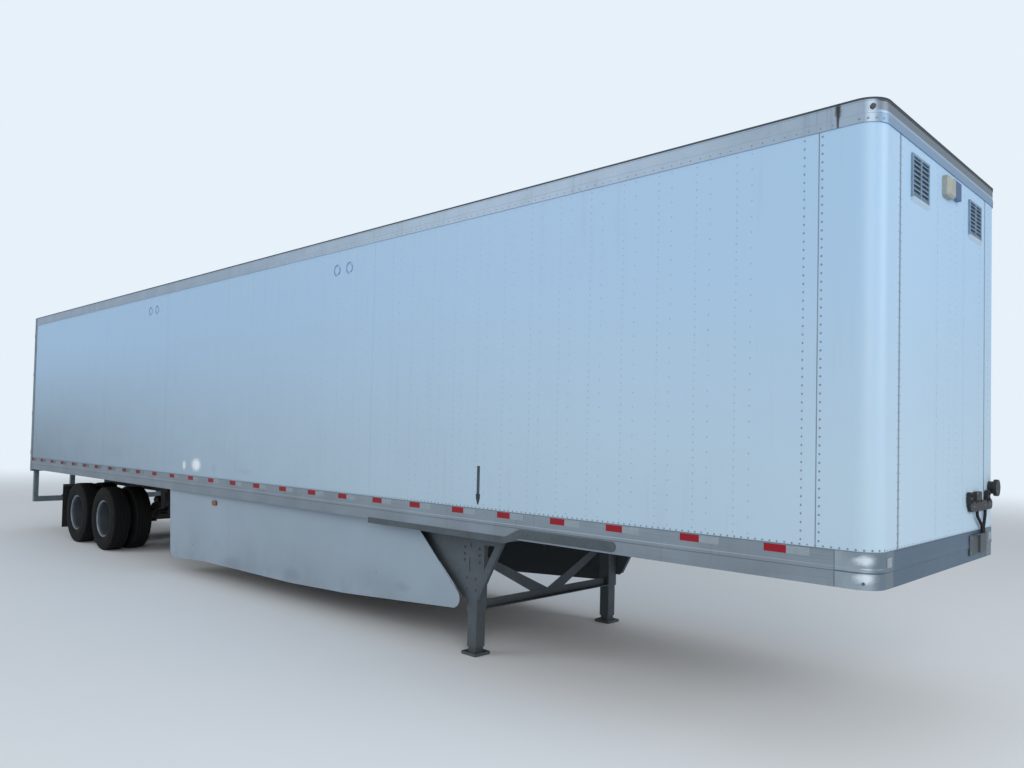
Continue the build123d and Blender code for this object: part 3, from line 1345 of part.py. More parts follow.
for axle_name, setback in AXLES:
    for side, hand in SIDES:
        place = Location((back(setback), hand * WHEEL_Y, TYRE_RADIUS), (0, 0, 0 if hand > 0 else 180))
        for piece, source in (("tyres", tyre_pair), ("rims", rim_pair), ("hub", hub_unit)):
            label = f"{piece}_{axle_name}_{side}"
            with BuildPart() as wheel_piece:
                add(source.part.moved(place))
            wheel_piece.part.label = label
            export_step(wheel_piece.part, f"parts/{label}.step")

# Rear frame: posts with door stops, header, sill, hinge ears and cam keepers
EAR_STEP = HINGE_KNUCKLE / 2 + HINGE_PLAY
KEEPER_STEP = CAM_HALF + KEEPER_GAP + KEEPER_THICK / 2
with BuildPart() as rear_frame:
    with BuildSketch(Plane.YZ.offset(REAR_X)):
        with Locations((0, (SILL_BOTTOM + BODY_HEIGHT) / 2)):
            Rectangle(BODY_WIDTH, BODY_HEIGHT - SILL_BOTTOM)
        with Locations((0, (SILL_TOP + OPENING_TOP) / 2)):
            Rectangle(2 * POST_INNER, OPENING_TOP - SILL_TOP, mode=Mode.SUBTRACT)
    extrude(amount=FRAME_DEPTH)
    with BuildSketch(Plane.YZ.offset(STOP_X)):
        with Locations((POST_INNER, (SILL_TOP + OPENING_TOP) / 2)):
            Rectangle(STOP_WIDTH, OPENING_TOP - SILL_TOP, align=(Align.MAX, Align.CENTER))
        with Locations((-POST_INNER, (SILL_TOP + OPENING_TOP) / 2)):
            Rectangle(STOP_WIDTH, OPENING_TOP - SILL_TOP, align=(Align.MIN, Align.CENTER))
        with Locations((0, OPENING_TOP)):
            Rectangle(2 * POST_INNER, STOP_WIDTH, align=(Align.CENTER, Align.MAX))
    extrude(amount=FRAME_FRONT - STOP_X)
    for height in HINGE_HEIGHTS:
        for side, hand in SIDES:
            for bottom in (height - EAR_STEP - HINGE_EAR, height + EAR_STEP):
                with BuildSketch(Plane.XY.offset(bottom)):
                    with Locations((HINGE_PIN_X, hand * HINGE_PIN_Y)):
                        Circle(HINGE_RADIUS)
                        Rectangle(HINGE_BACK, 2 * HINGE_RADIUS, align=(Align.MIN, Align.CENTER))
                extrude(amount=HINGE_EAR)
            with BuildSketch(Plane.XY.offset(height - EAR_STEP - HINGE_EAR)):
                with Locations((HINGE_PIN_X, hand * HINGE_PIN_Y)):
                    Circle(HINGE_PIN_RADIUS)
            extrude(amount=2 * (EAR_STEP + HINGE_EAR))
    with BuildSketch(Plane.YZ.offset(REAR_X)):
        for height in (ROD_BOTTOM + CAM_HEIGHT / 2, ROD_TOP - CAM_HEIGHT / 2):
            for side, hand in SIDES:
                with Locations(
                    (hand * ROD_Y - KEEPER_STEP, height),
                    (hand * ROD_Y + KEEPER_STEP, height),
                ):
                    Rectangle(KEEPER_THICK, KEEPER_HEIGHT)
    extrude(amount=-KEEPER_REACH)
rear_frame.part.label = "rear_frame"
export_step(rear_frame.part, "parts/rear_frame.step")

# Doors with their hinge straps
with BuildPart() as door_left:
    with BuildSketch(Plane.YZ.offset(REAR_X)):
        with Locations(((DOOR_OUTER + DOOR_MEETING) / 2, (DOOR_BOTTOM + DOOR_TOP) / 2)):
            Rectangle(DOOR_OUTER - DOOR_MEETING, DOOR_TOP - DOOR_BOTTOM)
    extrude(amount=DOOR_THICK)
    for height in HINGE_HEIGHTS:
        with BuildSketch(Plane.XY.offset(height - HINGE_KNUCKLE / 2)):
            with Locations((HINGE_PIN_X, HINGE_PIN_Y)):
                Circle(HINGE_RADIUS)
            with BuildLine():
                Polyline(
                    (REAR_X, DOOR_OUTER),
                    (REAR_X, HINGE_PIN_Y - STRAP_LENGTH),
                    (REAR_X - STRAP_THICK, HINGE_PIN_Y - STRAP_LENGTH),
                    (REAR_X - STRAP_THICK, HINGE_PIN_Y - 2 * HINGE_RADIUS),
                    (HINGE_PIN_X + HINGE_PIN_RADIUS / 6, HINGE_PIN_Y - HINGE_RADIUS),
                    (HINGE_PIN_X + HINGE_RADIUS, HINGE_PIN_Y),
                    (REAR_X - SWING_GAP, HINGE_PIN_Y - HINGE_RADIUS),
                    (REAR_X - SWING_GAP, DOOR_OUTER),
                    close=True,
                )
            make_face()
            with Locations((HINGE_PIN_X, HINGE_PIN_Y)):
                Circle(HINGE_PIN_RADIUS + PIN_PLAY, mode=Mode.SUBTRACT)
        extrude(amount=HINGE_KNUCKLE)
door_left.part.label = "door_left"
export_step(door_left.part, "parts/door_left.step")
door_right = mirrored(door_left)
door_right.part.label = "door_right"
export_step(door_right.part, "parts/door_right.step")

# Lock rods: a pipe with a cam at each end, guides, a handle and its catch
with BuildPart() as lock_rod_left:
    with BuildSketch(Plane.XY.offset(ROD_BOTTOM)):
        with Locations((ROD_X, ROD_Y)):
            Circle(ROD_RADIUS)
    extrude(amount=ROD_TOP - ROD_BOTTOM)
    for bottom in (ROD_BOTTOM, ROD_TOP - CAM_HEIGHT):
        with BuildSketch(Plane.XY.offset(bottom)):
            with Locations((ROD_X + CAM_AHEAD, ROD_Y)):
                Rectangle(CAM_DEPTH, 2 * CAM_HALF)
        extrude(amount=CAM_HEIGHT)
    for height in GUIDE_HEIGHTS:
        with BuildSketch(Plane.XY.offset(height)):
            with Locations((REAR_X, ROD_Y)):
                Rectangle(
                    ROD_BACK + ROD_RADIUS + GUIDE_WALL, GUIDE_WIDTH, align=(Align.MAX, Align.CENTER)
                )
                Rectangle(GUIDE_PAD_THICK, GUIDE_PAD, align=(Align.MAX, Align.CENTER))
        extrude(amount=GUIDE_HEIGHT)
    with BuildSketch(Plane.YZ.offset(ROD_X - ROD_RADIUS)):
        with Locations((ROD_Y - HANDLE_OVERHANG, HANDLE_Z)):
            Rectangle(HANDLE_LENGTH, HANDLE_HEIGHT, align=(Align.MIN, Align.CENTER))
    extrude(amount=ROD_RADIUS)
    with BuildSketch(Plane.YZ.offset(REAR_X)):
        with Locations((ROD_Y + HANDLE_LENGTH - CATCH_SETBACK, HANDLE_Z)):
            Rectangle(CATCH_WIDTH, CATCH_HEIGHT)
    extrude(amount=-ROD_BACK)
lock_rod_left.part.label = "lock_rod_left"
export_step(lock_rod_left.part, "parts/lock_rod_left.step")
lock_rod_right = mirrored(lock_rod_left)
lock_rod_right.part.label = "lock_rod_right"
export_step(lock_rod_right.part, "parts/lock_rod_right.step")

# Rear impact guard: a bar on four posts, with gussets outside the inner two
GUARD_BAR_HALF = HALF_WIDTH - GUARD_BAR_INSET
with BuildPart() as rear_guard:
    with BuildSketch(Plane.XZ.offset(-GUARD_BAR_HALF)):
        with Locations((REAR_X + GUARD_BAR_AHEAD, GUARD_BAR_Z)):
            Rectangle(GUARD_BAR, GUARD_BAR, align=(Align.MIN, Align.CENTER))
    extrude(amount=2 * GUARD_BAR_HALF)
    with BuildSketch(Plane.XY.offset(GUARD_BAR_Z)):
        for side, hand in SIDES:
            with Locations(
                (REAR_X + GUARD_BAR_AHEAD, hand * GUARD_POST_Y),
                (REAR_X + GUARD_BAR_AHEAD, hand * GUARD_END_POST_Y),
            ):
                Rectangle(GUARD_POST, GUARD_POST, align=(Align.MIN, Align.CENTER))
    extrude(amount=SILL_BOTTOM - GUARD_BAR_Z)
    corner_y = GUARD_POST_Y + GUARD_POST / 2
    corner_z = GUARD_BAR_Z + GUARD_BAR / 2
    with BuildSketch(Plane.YZ.offset(REAR_X + GUARD_BAR_AHEAD + GUARD_POST / 2)):
        with BuildLine():
            Polyline(
                (corner_y, corner_z),
                (corner_y + GUSSET, corner_z),
                (corner_y, corner_z + GUSSET),
                close=True,
            )
        make_face()
        mirror(about=Plane.YZ)
    extrude(amount=GUSSET_THICK)
rear_guard.part.label = "rear_guard"
export_step(rear_guard.part, "parts/rear_guard.step")

# Rubber dock bumpers on the sill
with BuildPart() as dock_bumpers:
    with BuildSketch(Plane.YZ.offset(REAR_X)):
        with Locations((HALF_WIDTH - BUMPER_INSET, SILL_BOTTOM + BUMPER_RISE)):
            Rectangle(BUMPER_WIDTH, BUMPER_HEIGHT, align=(Align.CENTER, Align.MIN))
    extrude(amount=-TAIL_REACH)
    fillet(dock_bumpers.edges().filter_by(Axis.Z).group_by(Axis.X)[0], radius=BUMPER_ROUNDING)
    mirror(about=Plane.XZ)
dock_bumpers.part.label = "dock_bumpers"
export_step(dock_bumpers.part, "parts/dock_bumpers.step")

# Tail lamps in the sill and header
with BuildPart() as tail_lamps:
    with BuildSketch(Plane.YZ.offset(REAR_X)):
        for side, hand in SIDES:
            for inset in SILL_LAMP_INSETS:
                with Locations((hand * (HALF_WIDTH - inset), SILL_BOTTOM + SILL_LAMP_RISE)):
                    Circle(SILL_LAMP_RADIUS)
            with Locations(
                (hand * (HALF_WIDTH - HEADER_LAMP_INSET), BODY_HEIGHT - HEADER_LAMP_DROP),
                (hand * HEADER_LAMP_PITCH, BODY_HEIGHT - HEADER_LAMP_DROP),
            ):
                RectangleRounded(HEADER_LAMP_WIDTH, HEADER_LAMP_HEIGHT, HEADER_LAMP_HEIGHT / 3)
        with Locations((0, BODY_HEIGHT - HEADER_LAMP_DROP)):
            RectangleRounded(HEADER_LAMP_WIDTH, HEADER_LAMP_HEIGHT, HEADER_LAMP_HEIGHT / 3)
    extrude(amount=-LAMP_THICK)
tail_lamps.part.label = "tail_lamps"
export_step(tail_lamps.part, "parts/tail_lamps.step")

# Amber marker lamps: front corners and one on each skirt
lamp_x = sin(radians(CORNER_LAMP_ANGLE))
lamp_y = cos(radians(CORNER_LAMP_ANGLE))
lamp_plane = Plane(
    origin=(
        FRONT_X - CORNER_RADIUS + CORNER_RADIUS * lamp_x,
        HALF_WIDTH - CORNER_RADIUS + CORNER_RADIUS * lamp_y,
        BODY_HEIGHT - CORNER_LAMP_DROP,
    ),
    x_dir=(0, 0, 1),
    z_dir=(lamp_x, lamp_y, 0),
)
with BuildPart() as marker_lamps:
    with BuildSketch(lamp_plane.offset(FIT - CAP_STEP)):
        Circle(CORNER_LAMP_RADIUS)
    extrude(amount=CORNER_LAMP_THICK)
    with BuildSketch(skirt_plane):
        with Locations((SKIRT_REAR - SIDE_LAMP_SETBACK, SIDE_LAMP_Z)):
            RectangleRounded(SIDE_LAMP_WIDTH, SIDE_LAMP_HEIGHT, SIDE_LAMP_HEIGHT / 3)
    extrude(amount=-SIDE_LAMP_THICK)
    mirror(about=Plane.XZ)
marker_lamps.part.label = "marker_lamps"
export_step(marker_lamps.part, "parts/marker_lamps.step")

# Box for the position beacon, high on the front wall
with BuildPart() as beacon_box:
    with BuildSketch(Plane.YZ.offset(SKIN_X)):
        with Locations((BEACON_Y, BODY_HEIGHT - BEACON_DROP)):
            RectangleRounded(BEACON_WIDTH, BEACON_HEIGHT, BEACON_ROUNDING)
    extrude(amount=BEACON_PROUD)
    chamfer(beacon_box.faces().sort_by(Axis.X)[-1].edges(), length=BEACON_BEVEL)
    with BuildSketch(Plane.YZ.offset(SKIN_X)):
        with Locations((BEACON_Y + BEACON_WIDTH / 2, BODY_HEIGHT - BEACON_END_DROP)):
            Rectangle(BEACON_END_WIDTH, BEACON_END_HEIGHT, align=(Align.MIN, Align.CENTER))
    extrude(amount=BEACON_END_PROUD)
beacon_box.part.label = "beacon_box"
export_step(beacon_box.part, "parts/beacon_box.step")

# Nose panel with two air couplings on stems, a junction box and the electric socket
with BuildPart() as nose_box:
    with BuildSketch(Plane.YZ.offset(SKIN_X)):
        with Locations((NOSE_Y, NOSE_PANEL_Z)):
            SlotOverall(NOSE_PANEL_WIDTH, NOSE_PANEL_HEIGHT)
        for offset in COUPLING_OFFSETS:
            with Locations((NOSE_Y + offset, NOSE_PANEL_Z)):
                Rectangle(COUPLING_STEM, COUPLING_Z - NOSE_PANEL_Z, align=(Align.CENTER, Align.MIN))
    extrude(amount=NOSE_PANEL_PROUD)
    with BuildSketch(Plane.YZ.offset(SKIN_X)):
        with Locations((NOSE_Y + NOSE_BOX_OFFSET, NOSE_BOX_Z)):
            RectangleRounded(NOSE_BOX_WIDTH, NOSE_BOX_HEIGHT, NOSE_BOX_HEIGHT / 6)
    extrude(amount=NOSE_BOX_PROUD)
    with BuildSketch(Plane.YZ.offset(SKIN_X + COUPLING_BACK)):
        with Locations(*[(NOSE_Y + offset, COUPLING_Z) for offset in COUPLING_OFFSETS]):
            RectangleRounded(COUPLING_WIDTH, COUPLING_HEIGHT, COUPLING_ROUNDING)
    extrude(amount=COUPLING_PROUD - COUPLING_BACK)
    socket_reach = NOSE_REACH + RAIL_PROUD
    with BuildSketch(Plane.YZ.offset(SKIN_X)):
        with Locations((NOSE_Y + SOCKET_OFFSET, SOCKET_Z)):
            Circle(SOCKET_BODY_RADIUS)
    extrude(amount=socket_reach - SOCKET_LID_THICK)
    with BuildSketch(Plane.YZ.offset(SKIN_X + socket_reach - SOCKET_LID_THICK)):
        with Locations((NOSE_Y + SOCKET_OFFSET, SOCKET_Z)):
            Circle(SOCKET_RADIUS)
    extrude(amount=SOCKET_LID_THICK)
nose_box.part.label = "nose_box"
export_step(nose_box.part, "parts/nose_box.step")

# Air hoses from the nose panel down to their bracket
with BuildPart() as air_hoses:
    for top_offset, bottom_offset in HOSE_ROUTES:
        with BuildLine() as hose_line:
            FilletPolyline(
                (SKIN_X + HOSE_OUT, NOSE_Y + top_offset, NOSE_PANEL_Z - NOSE_PANEL_HEIGHT / 2 - FIT),
                (SKIN_X + HOSE_OUT, NOSE_Y + top_offset, HOSE_TURN_HIGH),
                (SKIN_X + HOSE_OUT, NOSE_Y + bottom_offset, HOSE_TURN_LOW),
                (SKIN_X + HOSE_OUT, NOSE_Y + bottom_offset, SHELF_TOP + FIT),
                radius=HOSE_BEND,
            )
        with BuildSketch(Plane(hose_line.line @ 0, z_dir=hose_line.line % 0)):
            Circle(HOSE_RADIUS)
        sweep()
air_hoses.part.label = "air_hoses"
export_step(air_hoses.part, "parts/air_hoses.step")

# Bracket that takes the hoses into the rail: back plate, cable box and shelf
BRACKET_TOP = BRACKET_PLATE_Z + BRACKET_PLATE_HEIGHT / 2
with BuildPart() as hose_bracket:
    with BuildSketch(Plane.YZ.offset(FRONT_X)):
        with Locations((NOSE_Y + BRACKET_PLATE_OFFSET, BRACKET_TOP)):
            Rectangle(BRACKET_PLATE_WIDTH, BRACKET_PLATE_HEIGHT, align=(Align.CENTER, Align.MAX))
    extrude(amount=BRACKET_PLATE_THICK)
    with BuildSketch(Plane.YZ.offset(FRONT_X)):
        with Locations((NOSE_Y + BRACKET_BOX_OFFSET, BRACKET_TOP)):
            Rectangle(BRACKET_BOX_WIDTH, BRACKET_BOX_HEIGHT, align=(Align.CENTER, Align.MAX))
    extrude(amount=BRACKET_BOX_PROUD)
    with BuildSketch(Plane.XY.offset(BRACKET_TOP)):
        with Locations((FRONT_X, NOSE_Y + BRACKET_PLATE_OFFSET)):
            Rectangle(BRACKET_SHELF, BRACKET_SHELF_WIDTH, align=(Align.MIN, Align.CENTER))
    extrude(amount=BRACKET_SHELF_THICK)
hose_bracket.part.label = "hose_bracket"
export_step(hose_bracket.part, "parts/hose_bracket.step")
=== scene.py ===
"""Looks of a long box semi trailer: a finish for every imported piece, and the small parts over the solids.

Metres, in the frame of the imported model: +X to the nose, +Y to the road side, +Z up.
"""

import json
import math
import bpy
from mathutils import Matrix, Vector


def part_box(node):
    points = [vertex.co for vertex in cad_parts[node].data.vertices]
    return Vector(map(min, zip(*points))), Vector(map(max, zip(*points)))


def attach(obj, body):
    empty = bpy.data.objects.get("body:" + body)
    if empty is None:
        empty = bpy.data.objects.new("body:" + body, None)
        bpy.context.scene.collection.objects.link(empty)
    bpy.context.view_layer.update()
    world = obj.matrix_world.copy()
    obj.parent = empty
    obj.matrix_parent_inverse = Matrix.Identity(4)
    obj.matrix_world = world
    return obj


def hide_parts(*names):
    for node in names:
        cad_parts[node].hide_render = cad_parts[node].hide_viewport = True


bl_info = {
    "name": "Box trailer dressing",
    "version": (1, 0, 0),
    "blender": (4, 5, 0),
    "location": "View3D > Sidebar > Trailer",
    "description": "Finishes, rivets, tape, tyres and small fittings for a box semi trailer",
    "category": "Object",
}

import bmesh
import bpy
from bpy.props import FloatProperty, FloatVectorProperty, IntProperty, PointerProperty
from mathutils import Matrix, Vector

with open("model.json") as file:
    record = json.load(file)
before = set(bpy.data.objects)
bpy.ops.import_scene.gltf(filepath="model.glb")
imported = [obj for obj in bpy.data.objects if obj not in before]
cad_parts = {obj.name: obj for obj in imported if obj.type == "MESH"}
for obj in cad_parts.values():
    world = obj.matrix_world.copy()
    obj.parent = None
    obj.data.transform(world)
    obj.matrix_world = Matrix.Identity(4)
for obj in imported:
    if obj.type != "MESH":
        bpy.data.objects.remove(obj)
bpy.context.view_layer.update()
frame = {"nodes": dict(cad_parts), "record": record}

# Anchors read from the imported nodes
DOOR_THICK = 0.045
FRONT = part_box("front_rail")[1][0]
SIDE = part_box("bottom_rails")[1][1]
FRAME_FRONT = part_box("bottom_rails")[0][0]
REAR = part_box("door_left")[1][0] - DOOR_THICK
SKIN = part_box("side_wall_left")[1][1]
SKIN_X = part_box("front_wall")[1][0]
RAIL_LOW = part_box("bottom_rails")[0][2]
RAIL_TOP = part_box("bottom_rails")[1][2]
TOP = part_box("top_rails")[1][2]
TOP_RAIL_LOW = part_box("top_rails")[0][2]
SIDE_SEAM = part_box("side_wall_left")[1][0]
FRONT_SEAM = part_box("front_wall")[1][1]
RAIL_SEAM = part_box("top_rails")[1][0]
CASTING_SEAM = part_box("corner_castings")[0][0]
VENT_LOW, VENT_TOP = (corner[2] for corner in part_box("front_vents"))
TYRE_RADIUS = (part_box("tyres_front_left")[1][2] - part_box("tyres_front_left")[0][2]) / 2
WHEELS = [f"{axle}_{side}" for axle in ("front", "rear") for side in ("left", "right")]
HANDS = (("left", 1), ("right", -1))

# Round corners of the nose, and how far strips and films stand out of the face that carries them
CORNER_RADIUS = 0.150
LAP_SINK = 0.001
LAP_PROUD = 0.0012
FILM_SINK = 0.0006
FILM_PROUD = 0.0004

# Rivet rows: a post's second row, the rows behind the nose, the rows across the front, foot and head rows
SECOND_ROW = 0.1085
CORNER_ROWS = (0.359, 0.474)
FRONT_ROWS = (-FRONT_SEAM - 0.024, -FRONT_SEAM + 0.024, -0.219, 0.071, 0.216, 0.398, 0.809, 1.056)
FOOT_ROW = RAIL_TOP + 0.016
HEAD_ROW = TOP_RAIL_LOW + 0.022
FOOT_PITCH = 0.050
HEAD_PITCH = 0.078
LARGE_RIVET = 1.3

# Lapped sheet edges: behind the nose on the sides, and across the front
SIDE_LAPS = (5.005, 9.955, 12.33)
FRONT_LAPS = (-0.219, 0.398)

# Front vents: middle across the wall, half width of the shade sheet behind the louvres, half width that stays free of
# rivets
VENTS = ((-0.595, 0.137, 0.19), (0.662, 0.128, 0.18))

# Air couplings across the front wall, and their height
COUPLINGS = (0.520, 0.994)
COUPLING_LEVEL = 1.627

# The wall's arrow: place behind the nose, shaft, and the head's outline as place along the wall and height
ARROW_BEHIND = 3.405
ARROW_HALF = 0.018
ARROW_LOW = 1.500
ARROW_HIGH = 1.748
ARROW_HEAD = (
    (-0.0275, 1.502), (0.0275, 1.502), (0.024, 1.462), (0.006, 1.410), (-0.006, 1.410), (-0.024, 1.462),
)

# Tyres: twin from the pair's middle, width, bead; crown and grooves as shares of the wall's height
TWIN_OFFSET = 0.1715
TYRE_WIDTH = 0.280
BEAD_RADIUS = 0.286
TREAD_CROWN = 0.015
GROOVE_DEPTH = 0.05
GROOVE_SLOPE = 0.008

# A tyre's side from bead to tread, and the edges of its ribs: shares of half width, and of height over the bead
TYRE_SIDE = (
    (0.750, 0.004), (0.800, 0.03), (0.880, 0.06), (0.885, 0.10), (0.930, 0.15), (0.965, 0.24),
    (0.992, 0.38), (1.000, 0.50), (0.992, 0.62), (0.975, 0.63), (0.968, 0.66), (0.972, 0.69),
    (0.930, 0.80), (0.885, 0.90), (0.870, 0.955), (0.800, 0.985),
)
TREAD_RIBS = ((0.80, 0.56), (0.50, 0.20), (0.14, -0.14), (-0.20, -0.50), (-0.56, -0.80))

# Bolts of a leg's plates: place behind the nose, height
LEG_BOLTS = (
    (3.799, 0.979), (3.798, 0.917), (3.797, 0.860), (3.599, 0.977), (3.598, 0.919), (3.597, 0.858),
    (3.640, 0.600), (3.760, 0.600), (3.640, 0.700), (3.760, 0.700),
)
CASTING_BOLT = (0.088, 1.188)

# Rows of bolts along the guard plates: first and last place behind the nose, pitch, height
GUARD_BOLTS = ((4.90, 3.15, 0.35, 1.137), (2.80, 2.00, 0.27, 1.203))

# Bolts of the rear doors: number of heights, lowest height, step, places across, distance behind the door, radius
DOOR_BOLTS = (
    (4, 1.480, (3.775 - 1.480) / 3, (1.110, 1.150, 1.190), 0.012, 0.008),
    (5, 1.540, (3.735 - 1.520) / 4, (0.330 - 0.036, 0.330 + 0.036), 0.005, 0.006),
)

# Opening that a door's seal goes round: inner and outer edge across, lower edge
SEAL_INNER = 0.005
SEAL_OUTER = 1.219
SEAL_BOTTOM = 1.296

# Middles of the red strips behind the nose; they were stuck on by hand
RED_STRIPS = (
    0.641, 1.269, 1.918, 2.479, 3.081, 3.658, 4.265, 4.857, 5.463, 6.054, 6.667, 7.274, 7.868, 8.466, 9.062,
    9.654, 10.252, 10.857, 11.393, 11.989, 12.592, 13.152, 13.710, 14.289, 14.862, 15.449, 16.005,
)


class TrailerColours(bpy.types.PropertyGroup):
    """Colours that a repaint would change."""

    # The walls' white is written as a bluish grey: painted shade in the blue of sky light.
    panel: FloatVectorProperty(
        name="Panels", description="White of the walls and doors", subtype="COLOR", size=3,
        default=(0.43, 0.575, 0.70), min=0, max=1,
    )
    # The skirts' white is written as a bluish grey: painted shade in the blue of sky light.
    skirt: FloatVectorProperty(
        name="Skirts", description="White of the side skirts", subtype="COLOR", size=3,
        default=(0.305, 0.385, 0.465), min=0, max=1,
    )
    rail: FloatVectorProperty(
        name="Rails", description="Dull aluminium of the rails", subtype="COLOR", size=3,
        default=(0.235, 0.29, 0.345), min=0, max=1,
    )
    zinc: FloatVectorProperty(
        name="Zinc", description="Matt grey of the galvanised steel", subtype="COLOR", size=3,
        default=(0.17, 0.215, 0.25), min=0, max=1,
    )
    tape_red: FloatVectorProperty(
        name="Red tape", description="Red of the reflective tape", subtype="COLOR", size=3,
        default=(0.34, 0.004, 0.016), min=0, max=1,
    )
    tape_white: FloatVectorProperty(
        name="White tape", description="White of the reflective tape", subtype="COLOR", size=3,
        default=(0.33, 0.40, 0.46), min=0, max=1,
    )


class TrailerTrim(bpy.types.PropertyGroup):
    """Sizes of the small parts."""

    rivet_radius: FloatProperty(
        name="Rivet radius", description="Radius of a rivet head", unit="LENGTH", default=0.0065
    )
    rivet_height: FloatProperty(
        name="Rivet height", description="How far a rivet head stands out", unit="LENGTH", default=0.0026
    )
    rivet_pitch: FloatProperty(
        name="Rivet pitch", description="Step of the rivets up a post", unit="LENGTH", default=0.0535
    )
    post_pitch: FloatProperty(
        name="Post pitch", description="Step of the posts along the wall", unit="LENGTH", default=0.3125
    )
    post_first: FloatProperty(
        name="First post", description="First post's main rivet row behind the nose", unit="LENGTH", default=0.943
    )
    tape_length: FloatProperty(
        name="Tape length", description="Length of one strip of tape", unit="LENGTH", default=0.152
    )
    tape_height: FloatProperty(
        name="Tape height", description="Height of the tape", unit="LENGTH", default=0.050
    )
    tyre_steps: IntProperty(
        name="Tyre steps", description="Steps of a tyre's spin", default=72, min=24, max=128
    )


# Shader groups: each takes the place on the piece and gives a mask or a height


def new_group(name, inputs, outputs):
    """A new shader group with float sockets and a vector socket named Place, and its two end nodes."""
    group = bpy.data.node_groups.new(name, "ShaderNodeTree")
    group.interface.new_socket("Place", in_out="INPUT", socket_type="NodeSocketVector")
    for label, value in inputs:
        socket = group.interface.new_socket(label, in_out="INPUT", socket_type="NodeSocketFloat")
        socket.default_value = value
    for label in outputs:
        group.interface.new_socket(label, in_out="OUTPUT", socket_type="NodeSocketFloat")
    return group, group.nodes.new("NodeGroupInput"), group.nodes.new("NodeGroupOutput")


def math_node(tree, operation, first, second=None, third=None, clamp=False):
    """One math node whose inputs are sockets or numbers; gives its output socket."""
    node = tree.nodes.new("ShaderNodeMath")
    node.operation = operation
    node.use_clamp = clamp
    for socket, value in zip(node.inputs, (first, second, third)):
        if value is None:
            continue
        if isinstance(value, (int, float)):
            socket.default_value = value
        else:
            tree.links.new(value, socket)
    return node.outputs[0]


def noise_node(tree, place, scale, detail=3.0, rough=0.5):
    """A noise texture; scale is a number or a socket."""
    node = tree.nodes.new("ShaderNodeTexNoise")
    node.inputs["Detail"].default_value = detail
    node.inputs["Roughness"].default_value = rough
    tree.links.new(place, node.inputs["Vector"])
    if isinstance(scale, (int, float)):
        node.inputs["Scale"].default_value = scale
    else:
        tree.links.new(scale, node.inputs["Scale"])
    return node.outputs["Fac"]


def stretch_node(tree, place, scale, centre=(0, 0, 0)):
    """The place moved by a centre and stretched."""
    node = tree.nodes.new("ShaderNodeMapping")
    node.vector_type = "POINT"
    node.inputs["Location"].default_value = [-middle * factor for middle, factor in zip(centre, scale)]
    node.inputs["Scale"].default_value = scale
    tree.links.new(place, node.inputs["Vector"])
    return node.outputs["Vector"]


def rise_node(tree, value, low, high):
    """0 below low and 1 above high, smooth between."""
    node = tree.nodes.new("ShaderNodeMapRange")
    node.interpolation_type = "SMOOTHSTEP"
    node.inputs["From Min"].default_value = low
    node.inputs["From Max"].default_value = high
    tree.links.new(value, node.inputs["Value"])
    return node.outputs["Result"]


def fall_node(tree, value, low, high):
    """1 below low and 0 above high, smooth between."""
    return math_node(tree, "SUBTRACT", 1.0, rise_node(tree, value, low, high))


def length_node(tree, place):
    """How far a place is from the origin."""
    node = tree.nodes.new("ShaderNodeVectorMath")
    node.operation = "LENGTH"
    tree.links.new(place, node.inputs[0])
    return node.outputs["Value"]


def split_node(tree, place):
    """The X, Y and Z sockets of a place."""
    node = tree.nodes.new("ShaderNodeSeparateXYZ")
    tree.links.new(place, node.inputs[0])
    return node.outputs


def build_road_dust():
    """Dust that thickens towards the ground, in patches."""
    group, start, end = new_group("Road dust", (("Top", 1.0), ("Depth", 1.0), ("Patches", 2.0)), ("Mask",))
    height = split_node(group, start.outputs["Place"])["Z"]
    below = math_node(group, "SUBTRACT", start.outputs["Top"], height)
    depth = math_node(group, "DIVIDE", below, start.outputs["Depth"], clamp=True)
    patches = noise_node(group, start.outputs["Place"], start.outputs["Patches"], 6.0, 0.62)
    spread = rise_node(group, patches, 0.30, 0.72)
    part = math_node(group, "MULTIPLY_ADD", spread, 0.75, 0.25)
    group.links.new(math_node(group, "MULTIPLY", depth, part, clamp=True), end.inputs["Mask"])
    return group


def build_rain_streaks():
    """Faint upright streaks of dirt."""
    group, start, end = new_group("Rain streaks", (("Fineness", 22.0),), ("Mask",))
    drawn = stretch_node(group, start.outputs["Place"], (1, 1, 0.045))
    lines = noise_node(group, drawn, start.outputs["Fineness"], 3.0, 0.6)
    wide = noise_node(group, start.outputs["Place"], 0.9, 2.0)
    part = math_node(group, "MULTIPLY", rise_node(group, lines, 0.52, 0.78), rise_node(group, wide, 0.38, 0.66))
    group.links.new(part, end.inputs["Mask"])
    return group


def build_mottle():
    """Cloudy variation of colour, and a fine grain for the surface's height."""
    group, start, end = new_group("Mottle", (("Clouds", 1.5), ("Grain", 300.0)), ("Mask", "Height"))
    clouds = noise_node(group, start.outputs["Place"], start.outputs["Clouds"], 5.0, 0.6)
    group.links.new(rise_node(group, clouds, 0.3, 0.7), end.inputs["Mask"])
    grain = noise_node(group, start.outputs["Place"], start.outputs["Grain"], 2.0)
    group.links.new(grain, end.inputs["Height"])
    return group


def build_zinc_bloom():
    """The crystal patches of hot-dip zinc."""
    group, start, end = new_group("Zinc bloom", (("Crystals", 60.0),), ("Mask",))
    cells = group.nodes.new("ShaderNodeTexVoronoi")
    cells.feature = "F1"
    group.links.new(start.outputs["Place"], cells.inputs["Vector"])
    group.links.new(start.outputs["Crystals"], cells.inputs["Scale"])
    tint = group.nodes.new("ShaderNodeRGBToBW")
    group.links.new(cells.outputs["Color"], tint.inputs["Color"])
    clouds = noise_node(group, start.outputs["Place"], 7.0, 4.0)
    both = math_node(group, "MULTIPLY_ADD", tint.outputs[0], 0.45, math_node(group, "MULTIPLY", clouds, 0.55))
    group.links.new(both, end.inputs["Mask"])
    return group


